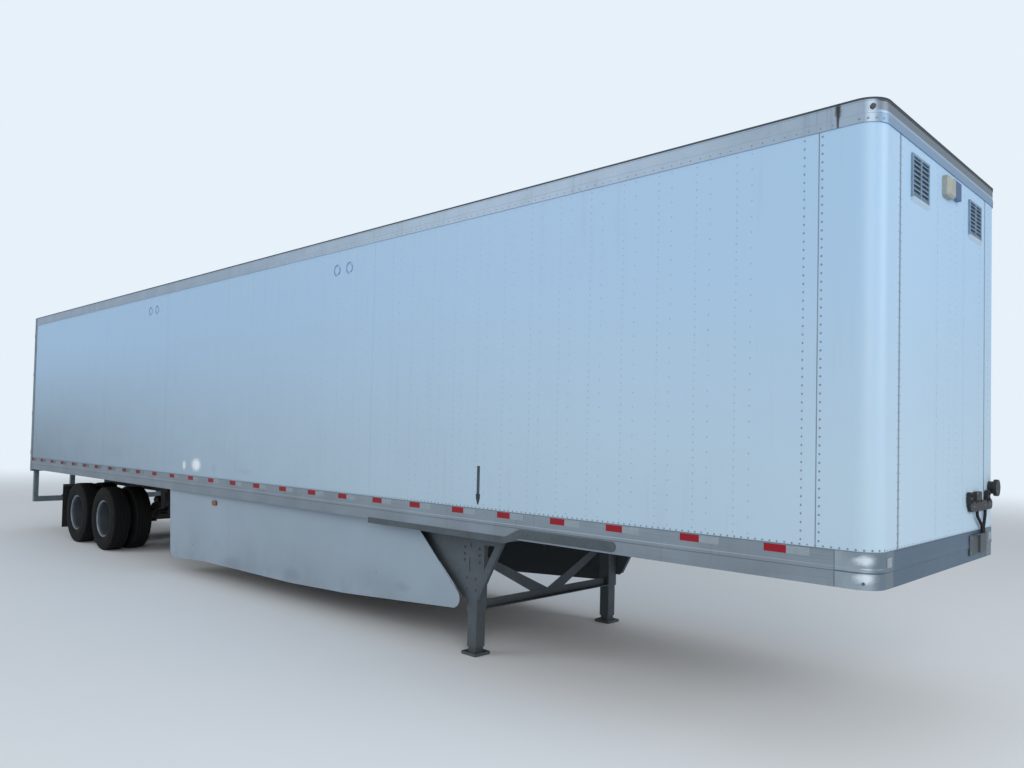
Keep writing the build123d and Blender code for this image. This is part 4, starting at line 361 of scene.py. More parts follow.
def build_worn_edge():
    """A mask that is 1 along rubbed edges."""
    group, start, end = new_group("Worn edge", (("Width", 0.004), ("Breaks", 30.0)), ("Mask",))
    bevel = group.nodes.new("ShaderNodeBevel")
    bevel.samples = 4
    group.links.new(start.outputs["Width"], bevel.inputs["Radius"])
    geometry = group.nodes.new("ShaderNodeNewGeometry")
    dot = group.nodes.new("ShaderNodeVectorMath")
    dot.operation = "DOT_PRODUCT"
    group.links.new(bevel.outputs[0], dot.inputs[0])
    group.links.new(geometry.outputs["Normal"], dot.inputs[1])
    turn = math_node(group, "SUBTRACT", 1.0, dot.outputs["Value"])
    breaks = noise_node(group, start.outputs["Place"], start.outputs["Breaks"], 4.0)
    edge = math_node(group, "MULTIPLY", rise_node(group, turn, 0.02, 0.16), rise_node(group, breaks, 0.35, 0.6))
    group.links.new(edge, end.inputs["Mask"])
    return group


def build_spot():
    """A soft ragged spot round the origin of the place it is given."""
    group, start, end = new_group("Spot", (("Ragged", 6.0),), ("Mask",))
    length = length_node(group, start.outputs["Place"])
    edge = noise_node(group, start.outputs["Place"], start.outputs["Ragged"], 4.0, 0.65)
    far = math_node(group, "MULTIPLY_ADD", edge, 0.9, math_node(group, "SUBTRACT", length, 0.45))
    group.links.new(fall_node(group, far, 0.25, 0.95), end.inputs["Mask"])
    return group


BUILDERS = {
    "dust": build_road_dust,
    "streaks": build_rain_streaks,
    "mottle": build_mottle,
    "bloom": build_zinc_bloom,
    "edge": build_worn_edge,
    "spot": build_spot,
}
GROUPS = {}


def dimmed(colour, factor):
    """A colour times a factor."""
    return tuple(factor * part for part in colour)


class Finish:
    """One procedural material, laid down in coats over the object's own coordinates."""

    def __init__(self, name, colour, rough, metal=0.0):
        self.material = bpy.data.materials.new(name)
        self.material.use_nodes = True
        self.material.diffuse_color = (*colour, 1)
        self.tree = self.material.node_tree
        self.shader = self.tree.nodes["Principled BSDF"]
        self.place = self.tree.nodes.new("ShaderNodeTexCoord").outputs["Object"]
        self.colour = (*colour, 1)
        self.rough = rough
        self.metal = metal
        self.height = None

    def group(self, key, place=None, **values):
        """An instance of a shared group."""
        if key not in GROUPS:
            GROUPS[key] = BUILDERS[key]()
        node = self.tree.nodes.new("ShaderNodeGroup")
        node.node_tree = GROUPS[key]
        self.tree.links.new(place or self.place, node.inputs["Place"])
        for label, value in values.items():
            node.inputs[label].default_value = value
        return node.outputs

    def math(self, operation, first, second=None, third=None, clamp=False):
        return math_node(self.tree, operation, first, second, third, clamp)

    def along(self, axis):
        """The object's own X, Y or Z."""
        return split_node(self.tree, self.place)[axis]

    def rise(self, value, low, high):
        return rise_node(self.tree, value, low, high)

    def fall(self, value, low, high):
        return fall_node(self.tree, value, low, high)

    def between(self, value, low, high, soft_low, soft_high):
        """1 between two values, with a softness at each end."""
        above = self.rise(value, low - soft_low, low + soft_low)
        return self.math("MULTIPLY", above, self.fall(value, high - soft_high, high + soft_high))

    def drawn_noise(self, stretch, scale, detail):
        """A noise over the stretched place."""
        return noise_node(self.tree, stretch_node(self.tree, self.place, stretch), scale, detail)

    def cells(self, scale, distance="EUCLIDEAN"):
        """The distance to the middle of small cells."""
        node = self.tree.nodes.new("ShaderNodeTexVoronoi")
        node.distance = distance
        node.inputs["Scale"].default_value = scale
        self.tree.links.new(self.place, node.inputs["Vector"])
        return node.outputs["Distance"]

    def tint(self, mask, colour, amount):
        """Mixes a colour over what is there, by a mask."""
        node = self.tree.nodes.new("ShaderNodeMix")
        node.data_type = "RGBA"
        self.tree.links.new(self.math("MULTIPLY", mask, amount, clamp=True), node.inputs["Factor"])
        if isinstance(self.colour, tuple):
            node.inputs["A"].default_value = self.colour
        else:
            self.tree.links.new(self.colour, node.inputs["A"])
        node.inputs["B"].default_value = (*colour, 1)
        self.colour = node.outputs["Result"]
        return self

    def roughen(self, mask, value, amount):
        """Moves the roughness to a value, by a mask."""
        part = self.math("MULTIPLY", mask, amount, clamp=True)
        if isinstance(self.rough, (int, float)):
            self.rough = self.math("MULTIPLY_ADD", part, value - self.rough, self.rough)
        else:
            kept = self.math("MULTIPLY", self.rough, self.math("SUBTRACT", 1.0, part))
            self.rough = self.math("ADD", kept, self.math("MULTIPLY", part, value))
        return self

    def raise_by(self, height, amount):
        """Adds to the surface's height; amount is in metres."""
        part = self.math("MULTIPLY", height, amount)
        self.height = part if self.height is None else self.math("ADD", self.height, part)
        return self

    def dust(self, top, depth, colour, amount, patches=2.0):
        """Dull dust that thickens below a height."""
        mask = self.group("dust", Top=top, Depth=depth, Patches=patches)["Mask"]
        return self.tint(mask, colour, amount).roughen(mask, 0.85, min(1.0, amount))

    def mottle(self, colour, amount, clouds=1.5, grain=300.0, bump=0.0):
        """Cloudy variation, and a fine grain where a height is given."""
        out = self.group("mottle", Clouds=clouds, Grain=grain)
        self.tint(out["Mask"], colour, amount)
        return self.raise_by(out["Height"], bump) if bump else self

    def edges(self, colour, amount, width, breaks, rough=None):
        """Rubbed edges."""
        mask = self.group("edge", Width=width, Breaks=breaks)["Mask"]
        self.tint(mask, colour, amount)
        return self if rough is None else self.roughen(mask, rough, amount)

    def streaks(self, colour, amount, fineness=22.0):
        """Rain streaks."""
        mask = self.group("streaks", Fineness=fineness)["Mask"]
        return self.tint(mask, colour, amount).roughen(mask, 0.6, amount)

    def spot(self, centre, size, colour, amount, ragged=6.0):
        """A ragged spot of the given half sizes round a centre."""
        near = stretch_node(self.tree, self.place, [1 / half for half in size], centre)
        return self.tint(self.group("spot", near, Ragged=ragged)["Mask"], colour, amount)

    def band(self, axis, low, high, colour, amount, rough=None, soft=0.0008):
        """Paints between two places along one axis."""
        inside = self.between(self.along(axis), low, high, soft, soft)
        self.tint(inside, colour, amount)
        return self if rough is None else self.roughen(inside, rough, amount)

    def done(self):
        """Feeds what has been laid down to the shader."""
        for label, value in (("Base Color", self.colour), ("Roughness", self.rough), ("Metallic", self.metal)):
            if isinstance(value, (int, float, tuple)):
                self.shader.inputs[label].default_value = value
            else:
                self.tree.links.new(value, self.shader.inputs[label])
        if self.height is not None:
            bump = self.tree.nodes.new("ShaderNodeBump")
            bump.inputs["Strength"].default_value = 1.0
            bump.inputs["Distance"].default_value = 1.0
            self.tree.links.new(self.height, bump.inputs["Height"])
            self.tree.links.new(bump.outputs["Normal"], self.shader.inputs["Normal"])
        return self.material


DUST = (0.23, 0.21, 0.19)
RUST = (0.20, 0.075, 0.030)


def panel_white(colours):
    """Gloss white sheet: slight waves between the posts, bluer towards the top as a painted sky reflection, road film
    and a painted reflection of the dark horizon low down towards the rear, streaks, and painted shade along the wall's
    foot.
    """
    white = tuple(colours.panel)
    made = Finish("white_panel", white, 0.46)
    made.mottle(dimmed(white, 0.93), 0.55, clouds=0.45)
    # Painted sky reflection: the walls turn bluer towards the top.
    made.tint(made.rise(made.along("Z"), 1.5, 3.6), (0.35, 0.535, 0.745), 0.9)
    made.streaks((0.30, 0.37, 0.44), 0.16)
    # Road film and a painted reflection of the dark horizon: darker low down and towards the rear.
    film = made.math("MULTIPLY", made.fall(made.along("Z"), 1.1, 3.7), made.fall(made.along("X"), REAR - 3, FRONT))
    made.tint(film, (0.10, 0.145, 0.20), 0.74).roughen(film, 0.6, 0.8)
    cloudy = made.math("MULTIPLY", film, made.group("mottle", Clouds=2.2, Grain=50.0)["Mask"])
    made.tint(cloudy, (0.12, 0.155, 0.20), 0.14)
    for centre, size, tone, amount in (
        ((FRONT - 8.92, -SKIN, 1.53), (0.19, 0.05, 0.12), (0.86, 0.90, 0.94), 0.95),
        ((FRONT - 9.287, -SKIN, 1.51), (0.07, 0.05, 0.09), (0.86, 0.90, 0.94), 0.75),
        ((FRONT - 8.40, -SKIN, 1.50), (0.13, 0.05, 0.09), (0.20, 0.27, 0.35), 0.22),
        ((FRONT - 7.60, -SKIN, 1.50), (0.24, 0.05, 0.05), (0.20, 0.27, 0.35), 0.20),
        ((FRONT - 11.8, -SKIN, 1.62), (0.80, 0.05, 0.16), (0.20, 0.27, 0.35), 0.16),
    ):
        made.spot(centre, size, tone, amount)
    # Painted shade in the step where the wall meets the proud rail.
    made.band("Z", RAIL_TOP - 0.002, RAIL_TOP + 0.007, (0.05, 0.08, 0.12), 0.75, soft=0.002)
    made.raise_by(made.drawn_noise((2.6, 2.6, 0.55), 1.0, 1.0), 0.0035)
    made.shader.inputs["Coat Weight"].default_value = 0.1
    made.shader.inputs["Coat Roughness"].default_value = 0.42
    return made.done()


def rivet_white(colours, name="rivet_white", dim=0.78):
    """White painted rivet heads, darker than the panels as painted shade round the heads."""
    white = dimmed(colours.panel, dim)
    made = Finish(name, white, 0.4)
    made.mottle(dimmed(white, 0.7), 0.6, clouds=3.0, grain=300.0, bump=0.0001)
    return made.done()


def skirt_white(colours):
    """Composite skirt: matt, with road dirt along the lower edge and scuffs; its inner face is painted near black as
    shade.
    """
    white = tuple(colours.skirt)
    made = Finish("skirt_white", white, 0.5)
    made.mottle(dimmed(white, 0.86), 0.6, clouds=0.8, grain=90.0, bump=0.0002)
    made.streaks((0.20, 0.24, 0.29), 0.22, 16.0)
    made.dust(0.75, 0.6, (0.13, 0.15, 0.17), 0.42, patches=1.6)
    for behind, height, half, tone in (
        (9.074, 0.431, 0.035, 0.10), (5.023, 0.588, 0.03, 0.12), (3.905, 0.640, 0.03, 0.12),
        (6.6, 0.36, 0.26, 0.24), (8.0, 0.30, 0.34, 0.24), (4.6, 0.50, 0.20, 0.24),
    ):
        scuff = dimmed((0.8, 0.95, 1.15), tone)
        made.spot((FRONT - behind, -1.2, height), (half, 0.12, half * 0.4), scuff, 0.5)
    # Painted shade: faces turned in towards the middle are near black, for the shade under the body.
    geometry = made.tree.nodes.new("ShaderNodeNewGeometry")
    facing = split_node(made.tree, geometry.outputs["Normal"])["Y"]
    inward = made.math("MULTIPLY", facing, made.along("Y"))
    made.tint(made.math("LESS_THAN", inward, -0.3), (0.035, 0.042, 0.05), 0.92)
    return made.done()


def rail_metal(colours, name="rail_aluminium", dim=1.0, tinge=(1.0, 1.0, 1.0)):
    """Dull extruded aluminium with lengthwise drawing lines, and a painted shadow line and a painted highlight along
    the rail's ledge.
    """
    grey = tuple(dim * part * hue for part, hue in zip(colours.rail, tinge))
    made = Finish(name, grey, 0.42, 0.35)
    made.mottle(dimmed(grey, 0.78), 0.7, clouds=2.2, grain=500.0, bump=0.00006)
    lines = made.drawn_noise((0.35, 0.35, 90.0), 2.0, 3.0)
    made.tint(made.rise(lines, 0.45, 0.75), dimmed(grey, 0.66), 0.45)
    made.streaks(dimmed(grey, 0.4), 0.30, 30.0)
    made.dust(1.40, 0.3, (0.12, 0.13, 0.14), 0.25, patches=5.0)
    # A painted shadow line and, above it, a painted highlight, along the rail's groove and ledge.
    made.band("Z", RAIL_LOW + 0.0965, RAIL_LOW + 0.1015, dimmed(grey, 0.35), 0.55)
    made.band("Z", RAIL_LOW + 0.1225, RAIL_LOW + 0.1285, dimmed(grey, 1.5), 0.35)
    return made.done()


def top_rail_metal(colours):
    """Top rail with old sealant along the roof's edge; across the nose its face is painted darker and bluer as shade,
    with a darker band of painted shade and a painted highlight line.
    """
    grey = tuple(colours.rail)
    side = (0.335, 0.43, 0.54)
    made = Finish("top_rail", side, 0.40, 0.3)
    made.mottle(dimmed(side, 0.82), 0.6, clouds=3.0, grain=500.0, bump=0.00006)
    made.streaks(dimmed(grey, 0.5), 0.30, 30.0)
    # Across the nose the rail's face is painted darker and bluer as shade; below the sealant a darker band of painted
    # shade, and a painted highlight line under it.
    nose = made.rise(made.along("X"), FRONT - 0.06, FRONT - 0.02)
    level = made.along("Z")
    made.tint(nose, (0.18, 0.29, 0.44), 0.9)
    for low, high, tone, amount in (
        (4.040, 4.098, (0.13, 0.155, 0.18), 0.85), (4.024, 4.036, (0.42, 0.52, 0.62), 0.5),
    ):
        made.tint(made.math("MULTIPLY", made.between(level, low, high, 0.004, 0.002), nose), tone, amount)
    made.band("Z", TOP - 0.014, TOP + 0.01, (0.035, 0.04, 0.05), 0.93, rough=0.7)
    ahead = made.math("MULTIPLY", nose, made.rise(level, TOP - 0.024, TOP - 0.018))
    made.tint(ahead, (0.025, 0.035, 0.045), 0.93)
    for hand in (-1, 1):
        for width, height, drop in ((0.030, 0.075, 0.045), (0.013, 0.16, 0.09)):
            centre = (RAIL_SEAM, hand * SIDE, TOP - drop)
            made.spot(centre, (width, 0.3, height), (0.03, 0.035, 0.04), 0.95, ragged=3.0)
    return made.done()


def cast_metal(colours):
    """Bare casting, polished where it is rubbed round the corner: painted highlights there, painted shade towards the
    front and in its groove, and dark at its seam.
    """
    made = Finish("casting", (0.30, 0.37, 0.43), 0.40, 0.5)
    made.mottle((0.17, 0.22, 0.26), 0.7, clouds=5.0, grain=260.0, bump=0.00025)
    made.streaks((0.10, 0.12, 0.14), 0.35, 30.0)
    # Painted highlights on the rounded corner, where the polished casting catches the light.
    for hand in (-1, 1):
        for drop, size in ((0.045, 0.042), (0.150, 0.048)):
            centre = (FRONT - 0.085, hand * (SIDE - 0.022), RAIL_TOP - drop)
            made.spot(centre, (0.085, 0.14, size), (0.72, 0.81, 0.88), 0.75, ragged=2.0)
    # Painted shade on the face towards the front.
    made.band("X", FRONT - 0.040, FRONT + 0.02, (0.12, 0.165, 0.21), 0.85, soft=0.028)
    made.band("X", CASTING_SEAM - 0.01, CASTING_SEAM + 0.006, (0.06, 0.075, 0.09), 0.8)
    # Painted shade in the groove.
    made.band("Z", RAIL_LOW + 0.0965, RAIL_LOW + 0.1065, (0.07, 0.09, 0.11), 0.8, soft=0.002)
    made.edges((0.75, 0.80, 0.84), 0.5, 0.003, 14.0, rough=0.3)
    return made.done()


def zinc(colours, name="galvanised", dim=1.0, dusty=0.30):
    """Hot-dip zinc: crystal patches, dust, and rust where it is rubbed through."""
    grey = dimmed(colours.zinc, dim)
    made = Finish(name, grey, 0.52, 0.35)
    made.tint(made.group("bloom", Crystals=55.0)["Mask"], tuple(min(1.0, 1.55 * part) for part in grey), 0.65)
    made.mottle(dimmed(grey, 0.6), 0.4, clouds=6.0, grain=400.0, bump=0.0001)
    made.edges((0.42, 0.48, 0.53), 0.35, 0.003, 40.0)
    made.dust(1.2, 1.1, (0.10, 0.10, 0.10), dusty, patches=5.0)
    return made.done()


def chassis_black(colours):
    """Black primer under a coat of road dust, rubbed and rusting at the edges."""
    made = Finish("chassis_black", (0.020, 0.021, 0.024), 0.6)
    made.mottle((0.045, 0.044, 0.044), 0.7, clouds=7.0, grain=240.0, bump=0.0003)
    made.edges(RUST, 0.40, 0.004, 26.0, rough=0.8)
    made.dust(1.15, 0.9, (0.10, 0.095, 0.09), 0.40, patches=4.0)
    return made.done()


def rubber(colours, name="rubber", tone=0.016, dusty=0.14):
    """Matt black rubber, greyed by dust."""
    made = Finish(name, (tone * 0.85, tone, tone * 1.15), 0.8)
    made.shader.inputs["Specular IOR Level"].default_value = 0.2
    made.mottle((tone * 1.9,) * 3, 0.6, clouds=12.0, grain=350.0, bump=0.00025)
    made.dust(1.05, 1.0, (0.11, 0.11, 0.11), dusty, patches=6.0)
    return made.done()


def rim_silver(colours):
    """Silver-white wheel paint with brake dust, and painted shade deep in the dish round the studs."""
    made = Finish("rim_silver", (0.16, 0.20, 0.24), 0.42, 0.2)
    made.mottle((0.09, 0.115, 0.14), 0.6, clouds=9.0, grain=300.0, bump=0.0001)
    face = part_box("rims_front_left")[1][1]
    outward = made.math("ABSOLUTE", made.along("Y"))
    # Painted shade: darker deep inside the dish.
    dish_shade = made.fall(outward, face - 0.070, face - 0.018)
    made.tint(dish_shade, (0.040, 0.050, 0.060), 0.8)
    made.edges((0.45, 0.54, 0.62), 0.8, 0.007, 16.0)
    made.dust(1.0, 0.95, (0.07, 0.07, 0.07), 0.35, patches=7.0)
    return made.done()


def hub_iron(colours):
    """Bare iron with a bloom of rust."""
    made = Finish("hub_iron", (0.10, 0.085, 0.075), 0.68, 0.4)
    made.mottle(RUST, 0.75, clouds=14.0, grain=200.0, bump=0.0006)
    made.dust(1.0, 0.95, DUST, 0.35, patches=9.0)
    return made.done()


def kingpin_steel(colours):
    """Forged steel in old grease."""
    made = Finish("kingpin_steel", (0.22, 0.20, 0.18), 0.34, 0.85)
    made.mottle((0.035, 0.030, 0.026), 0.8, clouds=16.0, grain=200.0, bump=0.0004)
    return made.done()


def wood_floor(colours):
    """Laminated hardwood boards along the body, worn down the middle."""
    made = Finish("wood_floor", (0.33, 0.20, 0.11), 0.48)
    board = made.tree.nodes.new("ShaderNodeTexBrick")
    board.offset = 0.37
    board.inputs["Scale"].default_value = 1.0
    board.inputs["Brick Width"].default_value = 1.9
    board.inputs["Row Height"].default_value = 0.035
    board.inputs["Mortar Size"].default_value = 0.0012
    board.inputs["Color1"].default_value = (0.15, 0.15, 0.15, 1)
    board.inputs["Color2"].default_value = (0.85, 0.85, 0.85, 1)
    board.inputs["Mortar"].default_value = (0.0, 0.0, 0.0, 1)
    made.tree.links.new(made.place, board.inputs["Vector"])
    grey = made.tree.nodes.new("ShaderNodeRGBToBW")
    made.tree.links.new(board.outputs["Color"], grey.inputs["Color"])
    made.tint(grey.outputs[0], (0.46, 0.30, 0.17), 0.7)
    fibre = made.drawn_noise((3.0, 90.0, 20.0), 1.0, 5.0)
    made.tint(made.rise(fibre, 0.42, 0.72), (0.17, 0.10, 0.055), 0.5)
    made.mottle((0.20, 0.17, 0.14), 0.55, clouds=2.0)
    made.raise_by(fibre, 0.0004)
    return made.done()


def roof_sheet(colours):
    """Plain roof sheet, dull and dusty."""
    made = Finish("roof_sheet", (0.62, 0.66, 0.70), 0.42, 0.3)
    made.mottle((0.46, 0.49, 0.52), 0.6, clouds=0.8, grain=120.0, bump=0.0002)
    made.mottle((0.33, 0.33, 0.33), 0.35, clouds=5.0)
    return made.done()


def louvre_grey(colours, name="louvre_grey", dim=1.0):
    """Grey painted louvres with dust on the slats; the sheets behind them are darker, as painted shade inside the
    vents.
    """
    grey = dimmed((0.20, 0.31, 0.43), dim)
    made = Finish(name, grey, 0.45)
    made.mottle(dimmed(grey, 0.62), 0.6, clouds=14.0, grain=400.0, bump=0.0001)
    made.band("Z", VENT_LOW, VENT_LOW + 0.0298, (0.50, 0.62, 0.74), 0.9)
    return made.done()


def beacon_beige(colours):
    """Aged beige cover; the end toward the kerb side is a dark panel."""
    made = Finish("beige_plastic", (0.35, 0.37, 0.33), 0.5)
    made.mottle((0.24, 0.26, 0.24), 0.5, clouds=9.0, grain=260.0, bump=0.0002)
    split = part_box("beacon_box")[1][1] - 0.176
    made.band("Y", split + 0.0005, split + 0.4, (0.010, 0.070, 0.21), 0.95, rough=0.3)
    made.streaks((0.16, 0.14, 0.10), 0.4, 40.0)
    return made.done()


def black_plastic(colours):
    """Black mouldings of the nose, chalked by sun."""
    made = Finish("black_plastic", (0.008, 0.010, 0.013), 0.5)
    made.mottle((0.028, 0.031, 0.036), 0.6, clouds=18.0, grain=500.0, bump=0.0002)
    made.edges((0.10, 0.11, 0.12), 0.4, 0.002, 60.0)
    return made.done()


def lens(name, colour, depth, dark_at_roof=False):
    """Moulded lamp lens with fine optics behind a gloss face; it can be dark where it stands by the roof."""
    made = Finish(name, colour, 0.12)
    made.mottle(depth, 0.5, clouds=60.0)
    optics = made.cells(170.0)
    made.tint(optics, depth, 0.8).raise_by(optics, 0.0006)
    if dark_at_roof:
        made.band("Z", 4.0, 4.2, (0.010, 0.010, 0.014), 0.95, rough=0.6)
    made.shader.inputs["Coat Weight"].default_value = 0.15
    made.shader.inputs["Coat Roughness"].default_value = 0.05
    return made.done()


def reflective(name, colour):
    """Reflective tape: a prism pattern under a clear face, duller towards the rear."""
    made = Finish(name, colour, 0.45)
    made.shader.inputs["Specular IOR Level"].default_value = 0.25
    made.tint(made.cells(240.0, "MANHATTAN"), dimmed(colour, 0.55), 0.5)
    made.mottle(dimmed(colour, 0.6), 0.4, clouds=20.0)
    made.dust(1.42, 0.2, (0.06, 0.06, 0.07), 0.10, patches=12.0)
    old = made.fall(made.along("X"), FRONT - 12.5, FRONT - 8.0)
    made.tint(old, tuple(0.25 * part + 0.01 for part in colour), 0.8)
    return made.done()


def black_mark(colours):
    """Black film of the arrow on the wall."""
    made = Finish("black_mark", (0.020, 0.044, 0.072), 0.5)
    made.mottle((0.05, 0.065, 0.085), 0.4, clouds=30.0)
    made.band("Z", 1.35, 1.505, (0.002, 0.004, 0.018), 0.9)
    return made.done()


def floor_pale(colours):
    """Plain pale studio floor that fades out far from the object."""
    made = Finish("stage_floor", (0.86, 0.89, 0.92), 0.9)
    made.mottle((0.84, 0.87, 0.90), 0.5, clouds=0.6)
    fade = made.fall(length_node(made.tree, made.place), 13.0, 34.0)
    made.tree.links.new(fade, made.shader.inputs["Alpha"])
    return made.done()


MATERIALS = {}


def finish(key):
    """The material of the given key, made once."""
    if not MATERIALS:
        colours = bpy.context.scene.trailer_colours
        makers = {
            "white_panel": panel_white, "skirt_white": skirt_white, "rail_aluminium": rail_metal,
            "casting": cast_metal, "galvanised": zinc, "chassis_black": chassis_black, "rubber": rubber,
            "rim_silver": rim_silver, "hub_iron": hub_iron, "kingpin_steel": kingpin_steel,
            "wood_floor": wood_floor, "roof_sheet": roof_sheet, "louvre_grey": louvre_grey,
            "beige_plastic": beacon_beige, "black_plastic": black_plastic, "black_mark": black_mark,
            "stage_floor": floor_pale,
        }
        for name, maker in makers.items():
            MATERIALS[name] = maker(colours)
        # Rail across the nose: a darker, bluer copy of the rail finish, as painted shade in the blue of sky light.
        MATERIALS["front_rail"] = rail_metal(colours, "rail_front", 0.50, (0.68, 0.98, 1.25))
        MATERIALS["top_rail"] = top_rail_metal(colours)
        MATERIALS["rivet_white"] = rivet_white(colours)
        # Dark blue-grey sheets behind the louvres: painted shade inside the vents.
        MATERIALS["vent_shade_sheet"] = louvre_grey(colours, "vent_shade_sheet", 0.5)
        # Darker copy for the seam strips: painted shade beside the joints.
        MATERIALS["seam_shade_line"] = rivet_white(colours, "seam_shade_line", 0.42)
        # Darker rivet heads for the rows by the nose and along the rails: stronger painted shade round the heads.
        MATERIALS["rivet_dark"] = rivet_white(colours, "rivet_dark", 0.46)
        MATERIALS["leg_zinc"] = zinc(colours, "leg_zinc", 0.44, 0.25)
        MATERIALS["plate_zinc"] = zinc(colours, "plate_zinc", 0.40, 0.38)
        # Tyres: a darker copy of the rubber with little dust, as painted shade under the body.
        MATERIALS["tyre"] = rubber(colours, "tyre", 0.005, 0.02)
        MATERIALS["red_lens"] = lens("red_lens", (0.42, 0.012, 0.014), (0.16, 0.004, 0.005))
        MATERIALS["amber_lens"] = lens("amber_lens", (0.30, 0.085, 0.025), (0.12, 0.034, 0.010), True)
        MATERIALS["tape_red"] = reflective("tape_red", tuple(colours.tape_red))
        MATERIALS["tape_white"] = reflective("tape_white", tuple(colours.tape_white))
    return MATERIALS[key]


OTHER_FINISH = {
    "front_rail": "front_rail",
    "top_rails": "top_rail",
    "top_rail_front": "top_rail",
    "guard_plates": "plate_zinc",
    "hose_bracket": "plate_zinc",
    "skirt_struts": "leg_zinc",
    "landing_legs": "leg_zinc",
    "leg_bracing": "leg_zinc",
    "wing_plates": "leg_zinc",
}


def new_object(name, mesh, key):
    """Makes a finished mesh an object of the scene, with its finish."""
    made = bpy.data.meshes.new(name)
    mesh.to_mesh(made)
    mesh.free()
    made.materials.append(finish(key))
    piece = bpy.data.objects.new(name, made)
    bpy.context.scene.collection.objects.link(piece)
    return piece


def add_piece(name, mesh, key, body="chassis", smooth=False):
    """Makes a finished mesh an object that rides on a body."""
    bmesh.ops.recalc_face_normals(mesh, faces=mesh.faces)
    piece = new_object(name, mesh, key)
    if smooth:
        piece.data.shade_smooth()
    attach(piece, body)
    return piece


def on_side(hand, inner, outer):
    """The low and high Y of what lies between two distances from the middle, on one side."""
    return sorted((hand * inner, hand * outer))


def on_corner(hand, angle, reach):
    """The way out of a nose corner at an angle from its side, and the place at a reach from its middle."""
    out = (math.sin(angle), hand * math.cos(angle), 0)
    return out, (FRONT - CORNER_RADIUS + reach * out[0], hand * (SIDE - CORNER_RADIUS) + reach * out[1])


def add_block(mesh, low, high, edge=0.0, segments=1):
    """A block between two corners, its edges rounded."""
    size = [b - a for a, b in zip(low, high)]
    middle = [(a + b) / 2 for a, b in zip(low, high)]
    made = bmesh.ops.create_cube(mesh, size=1, matrix=Matrix.Translation(middle) @ Matrix.Diagonal((*size, 1)))
    if edge:
        edges = {link for vert in made["verts"] for link in vert.link_edges}
        bmesh.ops.bevel(
            mesh, geom=list(edges), offset=edge, segments=segments, profile=0.5, affect="EDGES", material=-1
        )


def add_stud(mesh, place, outward, radius, height, segments=6, sink=0.0006):
    """A low cone head standing on a face, for rivets and bolts."""
    turn = Vector((0, 0, 1)).rotation_difference(Vector(outward)).to_matrix().to_4x4()
    middle = Vector(place) + Vector(outward) * (height / 2 - sink)
    bmesh.ops.create_cone(
        mesh, cap_ends=True, cap_tris=False, segments=segments, radius1=radius, radius2=radius * 0.62,
        depth=height, matrix=Matrix.Translation(middle) @ turn,
    )


def rivet_row(trim, levels, outward, factor=1.0):
    """A finished upright row of rivets, their radius times a factor, ready to be stamped."""
    mesh = bmesh.new()
    for level in levels:
        add_stud(mesh, (0, 0, level), outward, factor * trim.rivet_radius, trim.rivet_height)
    made = bpy.data.meshes.new("rivet_row")
    mesh.to_mesh(made)
    mesh.free()
    return made


def stamp(mesh, template, place):
    """Adds a copy of a finished mesh, moved to a place."""
    moved = template.copy()
    moved.transform(Matrix.Translation(place))
    mesh.from_mesh(moved)
    bpy.data.meshes.remove(moved)


def spin_outline(mesh, outline, centre, steps, axis=(0, 1, 0)):
    """Spins a closed outline of points a full turn about an axis through a centre."""
    verts = [mesh.verts.new(point) for point in outline]
    edges = [mesh.edges.new((verts[number - 1], verts[number])) for number in range(len(verts))]
    bmesh.ops.spin(
        mesh, geom=verts + edges, cent=centre, axis=axis, dvec=(0, 0, 0), angle=2 * math.pi,
        steps=steps, use_merge=True, use_duplicate=False,
    )


def steps_between(start, end, pitch):
    """Even places from start to end, as near to the pitch as fits."""
    count = max(1, round(abs(end - start) / pitch))
    return [start + (end - start) * number / count for number in range(count + 1)]


class TRAILER_OT_finish(bpy.types.Operator):
    """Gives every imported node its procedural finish"""

    bl_idname = "trailer.finish_nodes"
    bl_label = "Finish the packed nodes"

    def execute(self, context):
        slots = {part["node"]: part["material_slot"] for part in frame["record"]["subparts"]}
        for name, node in frame["nodes"].items():
            key = OTHER_FINISH.get(name, slots[name])
            material = finish(key)
            if not node.data.materials:
                node.data.materials.append(material)
            for number in range(len(node.material_slots)):
                node.material_slots[number].material = material
        return {"FINISHED"}


class TRAILER_OT_tyres(bpy.types.Operator):
    """Ribbed tyres over the plain ones"""

    bl_idname = "trailer.add_tyres"
    bl_label = "Tyres"

    def execute(self, context):
        outline = self.outline()
        wall = TYRE_RADIUS - BEAD_RADIUS
        for name in WHEELS:
            low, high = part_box(f"tyres_{name}")
            centre = [(a + b) / 2 for a, b in zip(low, high)]
            mesh = bmesh.new()
            for middle in (-TWIN_OFFSET, TWIN_OFFSET):
                points = [
                    (centre[0], centre[1] + middle + across * TYRE_WIDTH / 2, centre[2] + BEAD_RADIUS + share * wall)
                    for across, share in outline
                ]
                spin_outline(mesh, points, centre, context.scene.trailer_trim.tyre_steps)
            piece = add_piece(f"tyre_pair_{name}", mesh, "tyre", f"wheels_{name}", smooth=True)
            piece.data.set_sharp_from_angle(angle=math.radians(40))
            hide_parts(f"tyres_{name}")
        return {"FINISHED"}

    def outline(self):
        """A tyre's section, with a groove between each two ribs."""
        tread = [(across, 1.0 - TREAD_CROWN * abs(across)) for rib in TREAD_RIBS for across in rib]
        ribs = []
        for number, (across, level) in enumerate(tread):
            ribs.append((across, level))
            if number % 2 and number < len(tread) - 1:
                bottom = level - GROOVE_DEPTH
                ribs += [(across - GROOVE_SLOPE, bottom), (tread[number + 1][0] + GROOVE_SLOPE, bottom)]
        return [*TYRE_SIDE, *ribs[1:-1], *((-across, share) for across, share in reversed(TYRE_SIDE))]


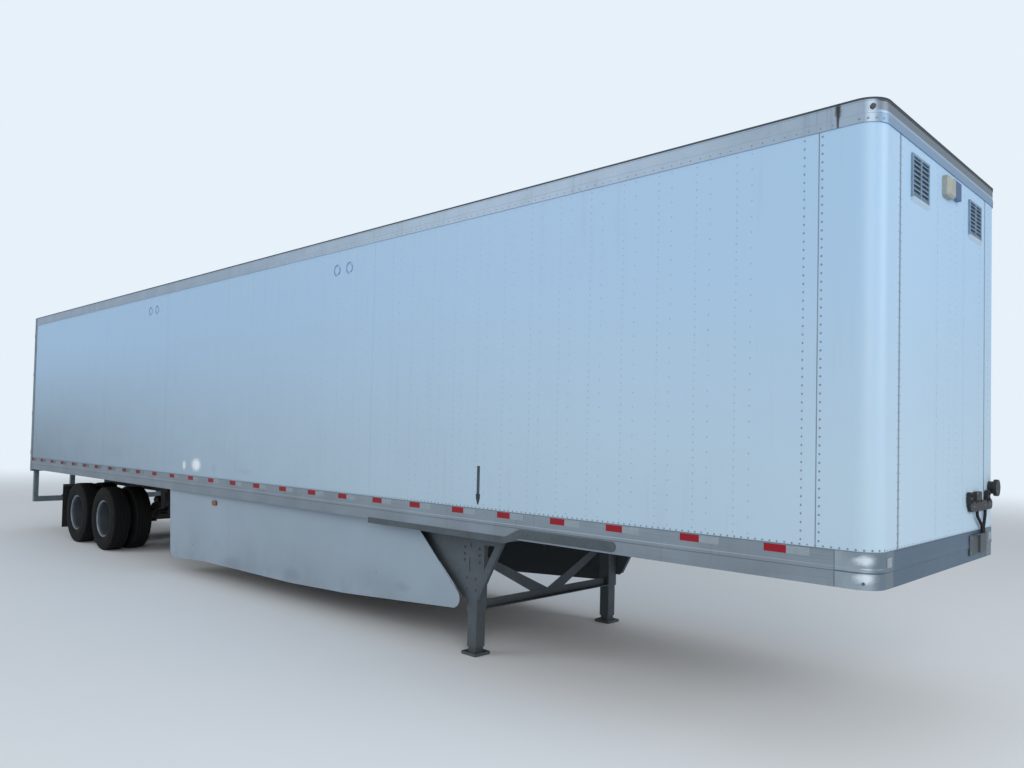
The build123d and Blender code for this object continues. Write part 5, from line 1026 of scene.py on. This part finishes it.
class TRAILER_OT_rivets(bpy.types.Operator):
    """Rivets up the posts, along the wall's foot and head, and round the corners"""

    bl_idname = "trailer.add_rivets"
    bl_label = "Rivets"

    def execute(self, context):
        trim = context.scene.trailer_trim
        low = RAIL_TOP + 0.045
        high = TOP_RAIL_LOW - 0.03
        close = steps_between(low, high, trim.rivet_pitch)
        wide = steps_between(low, high, 2 * trim.rivet_pitch)
        for side, hand in HANDS:
            self.add_posts(trim, side, hand, close, wide)
            self.add_side_rows(trim, side, hand)
        self.add_front(trim, close)
        self.add_corners(trim)
        return {"FINISHED"}

    def add_posts(self, trim, side, hand, close, wide):
        """Rows up the posts of one side, and the large rivets by its seam behind the nose."""
        outward = (0, hand, 0)
        main = rivet_row(trim, close, outward)
        second = rivet_row(trim, wide, outward)
        posts = bmesh.new()
        along = FRONT - trim.post_first
        while along > FRAME_FRONT + 0.05:
            stamp(posts, main, (along, hand * SKIN, 0))
            if along + SECOND_ROW < SIDE_SEAM - 0.06:
                stamp(posts, second, (along + SECOND_ROW, hand * SKIN, 0))
            along -= trim.post_pitch
        add_piece(f"rivets_{side}", posts, "rivet_white")
        large = rivet_row(trim, close, outward, LARGE_RIVET)
        corner = bmesh.new()
        for behind in CORNER_ROWS:
            stamp(corner, large, (FRONT - behind, hand * SKIN, 0))
        add_piece(f"corner_rows_{side}", corner, "rivet_dark")

    def add_side_rows(self, trim, side, hand):
        """Rows along the foot of one wall, and along its top rail."""
        outward = (0, hand, 0)
        rows = bmesh.new()
        foot = rivet_row(trim, (FOOT_ROW,), outward, 1.25)
        for along in steps_between(FRAME_FRONT + 0.03, SIDE_SEAM + 0.2, FOOT_PITCH):
            stamp(rows, foot, (along, hand * SKIN, 0))
        head = rivet_row(trim, (HEAD_ROW,), outward)
        for along in steps_between(FRAME_FRONT + 0.04, RAIL_SEAM - 0.03, HEAD_PITCH):
            stamp(rows, head, (along, hand * SIDE, 0))
        add_piece(f"rivet_rows_{side}", rows, "rivet_dark")

    def add_front(self, trim, close):
        """Rows up the front wall, which stop below the vents, and the row along its foot."""
        outward = (1, 0, 0)
        front = bmesh.new()
        whole = rivet_row(trim, close, outward)
        short = rivet_row(trim, [level for level in close if level < VENT_LOW - 0.02], outward)
        for across in FRONT_ROWS:
            at_vent = any(abs(across - middle) < clear for middle, _, clear in VENTS)
            stamp(front, short if at_vent else whole, (SKIN_X, across, 0))
        foot = rivet_row(trim, (FOOT_ROW,), outward)
        reach = SIDE - CORNER_RADIUS - 0.02
        for across in steps_between(-reach, reach, FOOT_PITCH):
            stamp(front, foot, (SKIN_X, across, 0))
        add_piece("rivets_front", front, "rivet_white")

    def add_corners(self, trim):
        """Rivets round the nose corners, in line with the foot and head rows."""
        mesh = bmesh.new()
        for hand in (-1, 1):
            for degrees in range(7, 84, 19):
                for level, reach in ((FOOT_ROW, CORNER_RADIUS - (SIDE - SKIN)), (HEAD_ROW, CORNER_RADIUS)):
                    out, base = on_corner(hand, math.radians(degrees), reach)
                    add_stud(mesh, (*base, level), out, LARGE_RIVET * trim.rivet_radius, trim.rivet_height)
        add_piece("rivets_round_corners", mesh, "rivet_dark")


class TRAILER_OT_seams(bpy.types.Operator):
    """Cover strips over the panel joints, lapped sheet edges, dark strips of painted shade along the seams, and sheets
    of painted shade behind the vents
    """

    bl_idname = "trailer.add_seams"
    bl_label = "Panel joints"

    def execute(self, context):
        low = RAIL_TOP + 0.001
        high = TOP_RAIL_LOW - 0.001
        mesh = bmesh.new()
        for hand in (-1, 1):
            inner, outer = on_side(hand, SKIN - LAP_SINK, SKIN + LAP_PROUD)
            add_block(mesh, (SIDE_SEAM - 0.090, inner, low), (SIDE_SEAM + 0.001, outer, high), 0.0005)
            for behind in SIDE_LAPS:
                place = FRONT - behind
                add_block(mesh, (place - 0.0025, inner, low), (place + 0.0025, outer - hand * 0.0004, high))
        for seam in (-FRONT_SEAM, FRONT_SEAM):
            add_block(mesh, (SKIN_X - LAP_SINK, seam - 0.012, low), (SKIN_X + LAP_PROUD, seam + 0.012, high), 0.0005)
        for seam in FRONT_LAPS:
            add_block(mesh, (SKIN_X - LAP_SINK, seam - 0.003, low), (SKIN_X + 0.001, seam + 0.003, high))
        add_piece("panel_joints", mesh, "white_panel")
        # Dark strips along the seams: painted shade beside the joints.
        seam_shade_mesh = bmesh.new()
        for hand in (-1, 1):
            inner, outer = on_side(hand, SKIN - LAP_SINK, SKIN + 0.0014)
            add_block(seam_shade_mesh, (SIDE_SEAM - 0.0025, inner, low), (SIDE_SEAM + 0.0035, outer, high))
            inner, outer = on_side(hand, FRONT_SEAM - 0.010, FRONT_SEAM + 0.012)
            add_block(seam_shade_mesh, (SKIN_X - LAP_SINK, inner, low), (SKIN_X + 0.0014, outer, high))
        add_piece("seam_shade_lines", seam_shade_mesh, "seam_shade_line")
        # Sheets behind the louvres, painted as the shade inside the vents.
        shade_sheets = bmesh.new()
        for middle, half, _ in VENTS:
            add_block(
                shade_sheets, (SKIN_X - 0.0005, middle - half, VENT_LOW + 0.034),
                (SKIN_X + 0.0020, middle + half, VENT_TOP - 0.02),
            )
        add_piece("vent_shade_sheets", shade_sheets, "vent_shade_sheet")
        return {"FINISHED"}


class TRAILER_OT_tape(bpy.types.Operator):
    """Red and white reflective tape along the rails and across the rear"""

    bl_idname = "trailer.add_tape"
    bl_label = "Reflective tape"

    def execute(self, context):
        trim = context.scene.trailer_trim
        length = trim.tape_length
        red, white, patch = bmesh.new(), bmesh.new(), bmesh.new()
        low = RAIL_TOP - 0.027 - trim.tape_height / 2
        high = RAIL_TOP - 0.027 + trim.tape_height / 2
        face = SIDE - 0.002
        for hand in (-1, 1):
            inner, outer = on_side(hand, face - FILM_PROUD, face + FILM_SINK)
            for behind in RED_STRIPS:
                for mesh, middle in ((red, FRONT - behind), (white, FRONT - behind + length)):
                    add_block(mesh, (middle - length / 2, inner, low), (middle + length / 2, outer, high))
        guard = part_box("rear_guard")
        self.add_run((red, white), guard[0][0], length, guard[1][1] - 0.03, (0.535, 0.585))
        self.add_run((white, red), REAR, length, 0.96, (1.205, 1.240), lamps=(0.69, 0.85))
        for hand in (-1, 1):
            inner, outer = on_side(hand, 1.050, 1.090)
            add_block(white, (REAR - FILM_SINK, inner, TOP - 0.105), (REAR + FILM_PROUD, outer, TOP - 0.020))
            inner, outer = on_side(hand, 1.071, 1.150)
            add_block(patch, (FRONT - 0.001, inner, 1.278), (FRONT + 0.0008, outer, 1.338))
        add_piece("tape_red_strips", red, "tape_red")
        add_piece("tape_white_strips", white, "tape_white")
        add_piece("corner_reflectors", patch, "tape_white")
        return {"FINISHED"}

    def add_run(self, meshes, face, length, half, levels, lamps=()):
        """Strips end to end across a rear face, with none over the lamps."""
        count = int(2 * half / length)
        for number in range(count):
            start = -count * length / 2 + number * length
            if any(abs(abs(start + length / 2) - lamp) < 0.135 for lamp in lamps):
                continue
            add_block(
                meshes[number % 2], (face - FILM_SINK, start, levels[0]), (face + FILM_PROUD, start + length, levels[1])
            )


class TRAILER_OT_arrow(bpy.types.Operator):
    """Black arrow low on each wall"""

    bl_idname = "trailer.add_arrow"
    bl_label = "Side arrow"

    def execute(self, context):
        mesh = bmesh.new()
        place = FRONT - ARROW_BEHIND
        for hand in (-1, 1):
            sides = on_side(hand, SKIN + 0.0002, SKIN + 0.0008)
            add_block(
                mesh, (place - ARROW_HALF, sides[0], ARROW_LOW), (place + ARROW_HALF, sides[1], ARROW_HIGH)
            )
            near, far = ([mesh.verts.new((place + ahead, side, level)) for ahead, level in ARROW_HEAD] for side in sides)
            mesh.faces.new(near)
            mesh.faces.new(far)
            for number in range(len(near)):
                mesh.faces.new((near[number - 1], near[number], far[number], far[number - 1]))
        add_piece("arrow_marks", mesh, "black_mark")
        return {"FINISHED"}


class TRAILER_OT_fasteners(bpy.types.Operator):
    """Bolts of the leg plates, castings, guard plates, door hinges and rod guides"""

    bl_idname = "trailer.add_fasteners"
    bl_label = "Bolts"

    def execute(self, context):
        mesh = bmesh.new()
        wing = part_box("wing_plates")[1][1] - 0.034
        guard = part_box("guard_plates")[1][1]
        for hand in (-1, 1):
            outward = (0, hand, 0)
            for behind, level in LEG_BOLTS:
                add_stud(mesh, (FRONT - behind, hand * wing, level), outward, 0.014, 0.011)
            behind, level = CASTING_BOLT
            angle = math.asin((CORNER_RADIUS - behind) / CORNER_RADIUS)
            out, base = on_corner(hand, angle, CORNER_RADIUS - 0.004)
            add_stud(mesh, (*base, level), out, 0.011, 0.006)
            for first, last, pitch, level in GUARD_BOLTS:
                for along in steps_between(FRONT - first, FRONT - last, pitch):
                    add_stud(mesh, (along, hand * guard, level), outward, 0.010, 0.006)
        add_piece("leg_bolts", mesh, "plate_zinc")
        self.add_door_bolts()
        return {"FINISHED"}

    def add_door_bolts(self):
        """Bolts of the hinge straps and rod guides, which swing with the doors."""
        for side, hand in HANDS:
            mesh = bmesh.new()
            for count, lowest, step, places, behind, radius in DOOR_BOLTS:
                for number in range(count):
                    for across in places:
                        place = (REAR - behind, hand * across, lowest + number * step)
                        add_stud(mesh, place, (-1, 0, 0), radius, 0.005)
            add_piece(f"door_bolts_{side}", mesh, "galvanised", f"rear_door_{side}")


class TRAILER_OT_seals(bpy.types.Operator):
    """Rubber seals round the rear doors"""

    bl_idname = "trailer.add_seals"
    bl_label = "Door seals"

    def execute(self, context):
        for side, hand in HANDS:
            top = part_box(f"door_{side}")[1][2]
            mesh = bmesh.new()
            for inner, outer, low, high in (
                (SEAL_INNER - 0.003, SEAL_OUTER, SEAL_BOTTOM - 0.004, SEAL_BOTTOM + 0.010),
                (SEAL_INNER - 0.003, SEAL_OUTER, top - 0.010, top + 0.004),
                (SEAL_INNER - 0.003, SEAL_INNER + 0.010, SEAL_BOTTOM + 0.010, top - 0.010),
                (SEAL_OUTER - 0.010, SEAL_OUTER + 0.003, SEAL_BOTTOM + 0.010, top - 0.010),
            ):
                first, last = on_side(hand, inner, outer)
                add_block(mesh, (REAR - 0.003, first, low), (REAR + 0.001, last, high), 0.0008)
            add_piece(f"door_seal_{side}", mesh, "rubber", f"rear_door_{side}")
        return {"FINISHED"}


class TRAILER_OT_nose(bpy.types.Operator):
    """Seals of the air couplings, and bolts of the nose fittings"""

    bl_idname = "trailer.add_nose"
    bl_label = "Nose fittings"

    def execute(self, context):
        seals = bmesh.new()
        for across in COUPLINGS:
            for rise in (-0.022, 0.022):
                add_stud(seals, (SKIN_X + 0.032, across, COUPLING_LEVEL + rise), (1, 0, 0), 0.017, 0.010, 16)
        for across in (0.69, 0.77):
            add_stud(seals, (SKIN_X + 0.030, across, 1.600), (1, 0, 0), 0.010, 0.008, 12)
        add_piece("coupling_seals", seals, "rubber")
        bolts = bmesh.new()
        for across, level in ((0.675, 1.660), (0.785, 1.660), (0.60, 1.562), (0.90, 1.562), (1.04, 1.562)):
            proud = 0.030 if level > 1.6 else 0.026
            add_stud(bolts, (SKIN_X + proud, across, level), (1, 0, 0), 0.007, 0.005)
        for across, level in ((0.57, 1.215), (0.57, 1.325), (0.975, 1.215), (0.975, 1.325)):
            add_stud(bolts, (FRONT + 0.006, across, level), (1, 0, 0), 0.008, 0.006)
        for number in range(3):
            angle = math.radians(90 + 120 * number)
            spot = (FRONT + 0.060, 1.11 + 0.050 * math.cos(angle), 1.690 + 0.050 * math.sin(angle))
            add_stud(bolts, spot, (1, 0, 0), 0.006, 0.004)
        add_piece("nose_bolts", bolts, "galvanised")
        return {"FINISHED"}


class TRAILER_OT_stage(bpy.types.Operator):
    """Pale floor, soft lamps, world and camera"""

    bl_idname = "trailer.set_stage"
    bl_label = "Stage"

    def execute(self, context):
        self.add_floor()
        self.add_lights()
        self.add_world()
        self.add_camera(context)
        context.scene.view_settings.view_transform = "Standard"
        return {"FINISHED"}

    def add_floor(self):
        """One flat sheet under the wheels."""
        mesh = bmesh.new()
        bmesh.ops.create_grid(mesh, x_segments=1, y_segments=1, size=90)
        floor = new_object("stage_floor", mesh, "stage_floor")

    def add_lights(self):
        """Three soft lamps: name, place, target, size, power, colour."""
        for name, place, target, size, power, colour in (
            ("key", (17, -10.5, 7.5), (6, 0, 2.2), 9.0, 860, (1.0, 0.98, 0.95)),
            ("side", (-9, -17, 8), (-5, 0, 1.8), 14.0, 1000, (0.95, 0.98, 1.0)),
            ("rim", (20, 4, 7.5), (8, 0, 2.5), 8.0, 600, (0.97, 0.99, 1.0)),
        ):
            lamp = bpy.data.lights.new(name, "AREA")
            lamp.shape = "DISK"
            lamp.size = size
            lamp.energy = power
            lamp.color = colour
            made = bpy.data.objects.new(name, lamp)
            aim = Vector(target) - Vector(place)
            made.matrix_world = Matrix.Translation(place) @ aim.to_track_quat("-Z", "Y").to_matrix().to_4x4()
            bpy.context.scene.collection.objects.link(made)

    def add_world(self):
        """A plain light for the object, and a pale background for the camera."""
        world = bpy.data.worlds.new("studio")
        world.use_nodes = True
        tree = world.node_tree
        tree.nodes.clear()
        out = tree.nodes.new("ShaderNodeOutputWorld")
        light = tree.nodes.new("ShaderNodeBackground")
        light.inputs["Color"].default_value = (0.90, 0.95, 1.0, 1)
        light.inputs["Strength"].default_value = 0.50
        shown = tree.nodes.new("ShaderNodeBackground")
        shown.inputs["Color"].default_value = (0.80, 0.88, 0.96, 1)
        shown.inputs["Strength"].default_value = 1.0
        path = tree.nodes.new("ShaderNodeLightPath")
        mix = tree.nodes.new("ShaderNodeMixShader")
        tree.links.new(path.outputs["Is Camera Ray"], mix.inputs["Fac"])
        tree.links.new(light.outputs[0], mix.inputs[1])
        tree.links.new(shown.outputs[0], mix.inputs[2])
        tree.links.new(mix.outputs[0], out.inputs["Surface"])
        bpy.context.scene.world = world

    def add_camera(self, context):
        """The camera by the kerb side of the nose, turned by yaw, pitch and roll."""
        yaw, pitch, roll = (math.radians(angle) for angle in (134.0182, 1.675, 1.2428))
        ahead = Vector((math.cos(yaw) * math.cos(pitch), math.sin(yaw) * math.cos(pitch), math.sin(pitch)))
        right = ahead.cross(Vector((0, 0, 1))).normalized()
        up = right.cross(ahead)
        across = right * math.cos(roll) + up * math.sin(roll)
        upward = up * math.cos(roll) - right * math.sin(roll)
        optics = bpy.data.cameras.new("camera")
        optics.sensor_width = 36.0
        optics.lens = 28.516
        optics.shift_y = 0.02587
        optics.clip_end = 400
        camera = bpy.data.objects.new("camera", optics)
        turn = Matrix((across, upward, -ahead)).transposed().to_4x4()
        camera.matrix_world = Matrix.Translation((FRONT + 1.7599, -6.2299, 2.0329)) @ turn
        context.scene.collection.objects.link(camera)
        context.scene.camera = camera


OPERATORS = (
    TRAILER_OT_finish,
    TRAILER_OT_tyres,
    TRAILER_OT_rivets,
    TRAILER_OT_seams,
    TRAILER_OT_tape,
    TRAILER_OT_arrow,
    TRAILER_OT_fasteners,
    TRAILER_OT_seals,
    TRAILER_OT_nose,
    TRAILER_OT_stage,
)


class TRAILER_PT_panel(bpy.types.Panel):
    """Sidebar panel with the steps of the dressing"""

    bl_idname = "TRAILER_PT_panel"
    bl_label = "Box trailer"
    bl_space_type = "VIEW_3D"
    bl_region_type = "UI"
    bl_category = "Trailer"

    def draw(self, context):
        layout = self.layout
        for group in (context.scene.trailer_colours, context.scene.trailer_trim):
            for name in group.bl_rna.properties.keys():
                if name not in {"rna_type", "name"}:
                    layout.prop(group, name)
        for operator in OPERATORS:
            layout.operator(operator.bl_idname)


CLASSES = (TrailerColours, TrailerTrim, *OPERATORS, TRAILER_PT_panel)


def register():
    """Registers the add-on's classes."""
    for item in CLASSES:
        bpy.utils.register_class(item)
    bpy.types.Scene.trailer_colours = PointerProperty(type=TrailerColours)
    bpy.types.Scene.trailer_trim = PointerProperty(type=TrailerTrim)


def unregister():
    """Removes the add-on's classes."""
    del bpy.types.Scene.trailer_trim
    del bpy.types.Scene.trailer_colours
    for item in reversed(CLASSES):
        bpy.utils.unregister_class(item)


def main():
    """Dresses the trailer and sets the stage."""
    register()
    bpy.ops.trailer.finish_nodes()
    bpy.ops.trailer.add_tyres()
    bpy.ops.trailer.add_rivets()
    bpy.ops.trailer.add_seams()
    bpy.ops.trailer.add_tape()
    bpy.ops.trailer.add_arrow()
    bpy.ops.trailer.add_fasteners()
    bpy.ops.trailer.add_seals()
    bpy.ops.trailer.add_nose()
    bpy.ops.trailer.set_stage()
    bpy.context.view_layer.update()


if __name__ == "__main__":
    main()
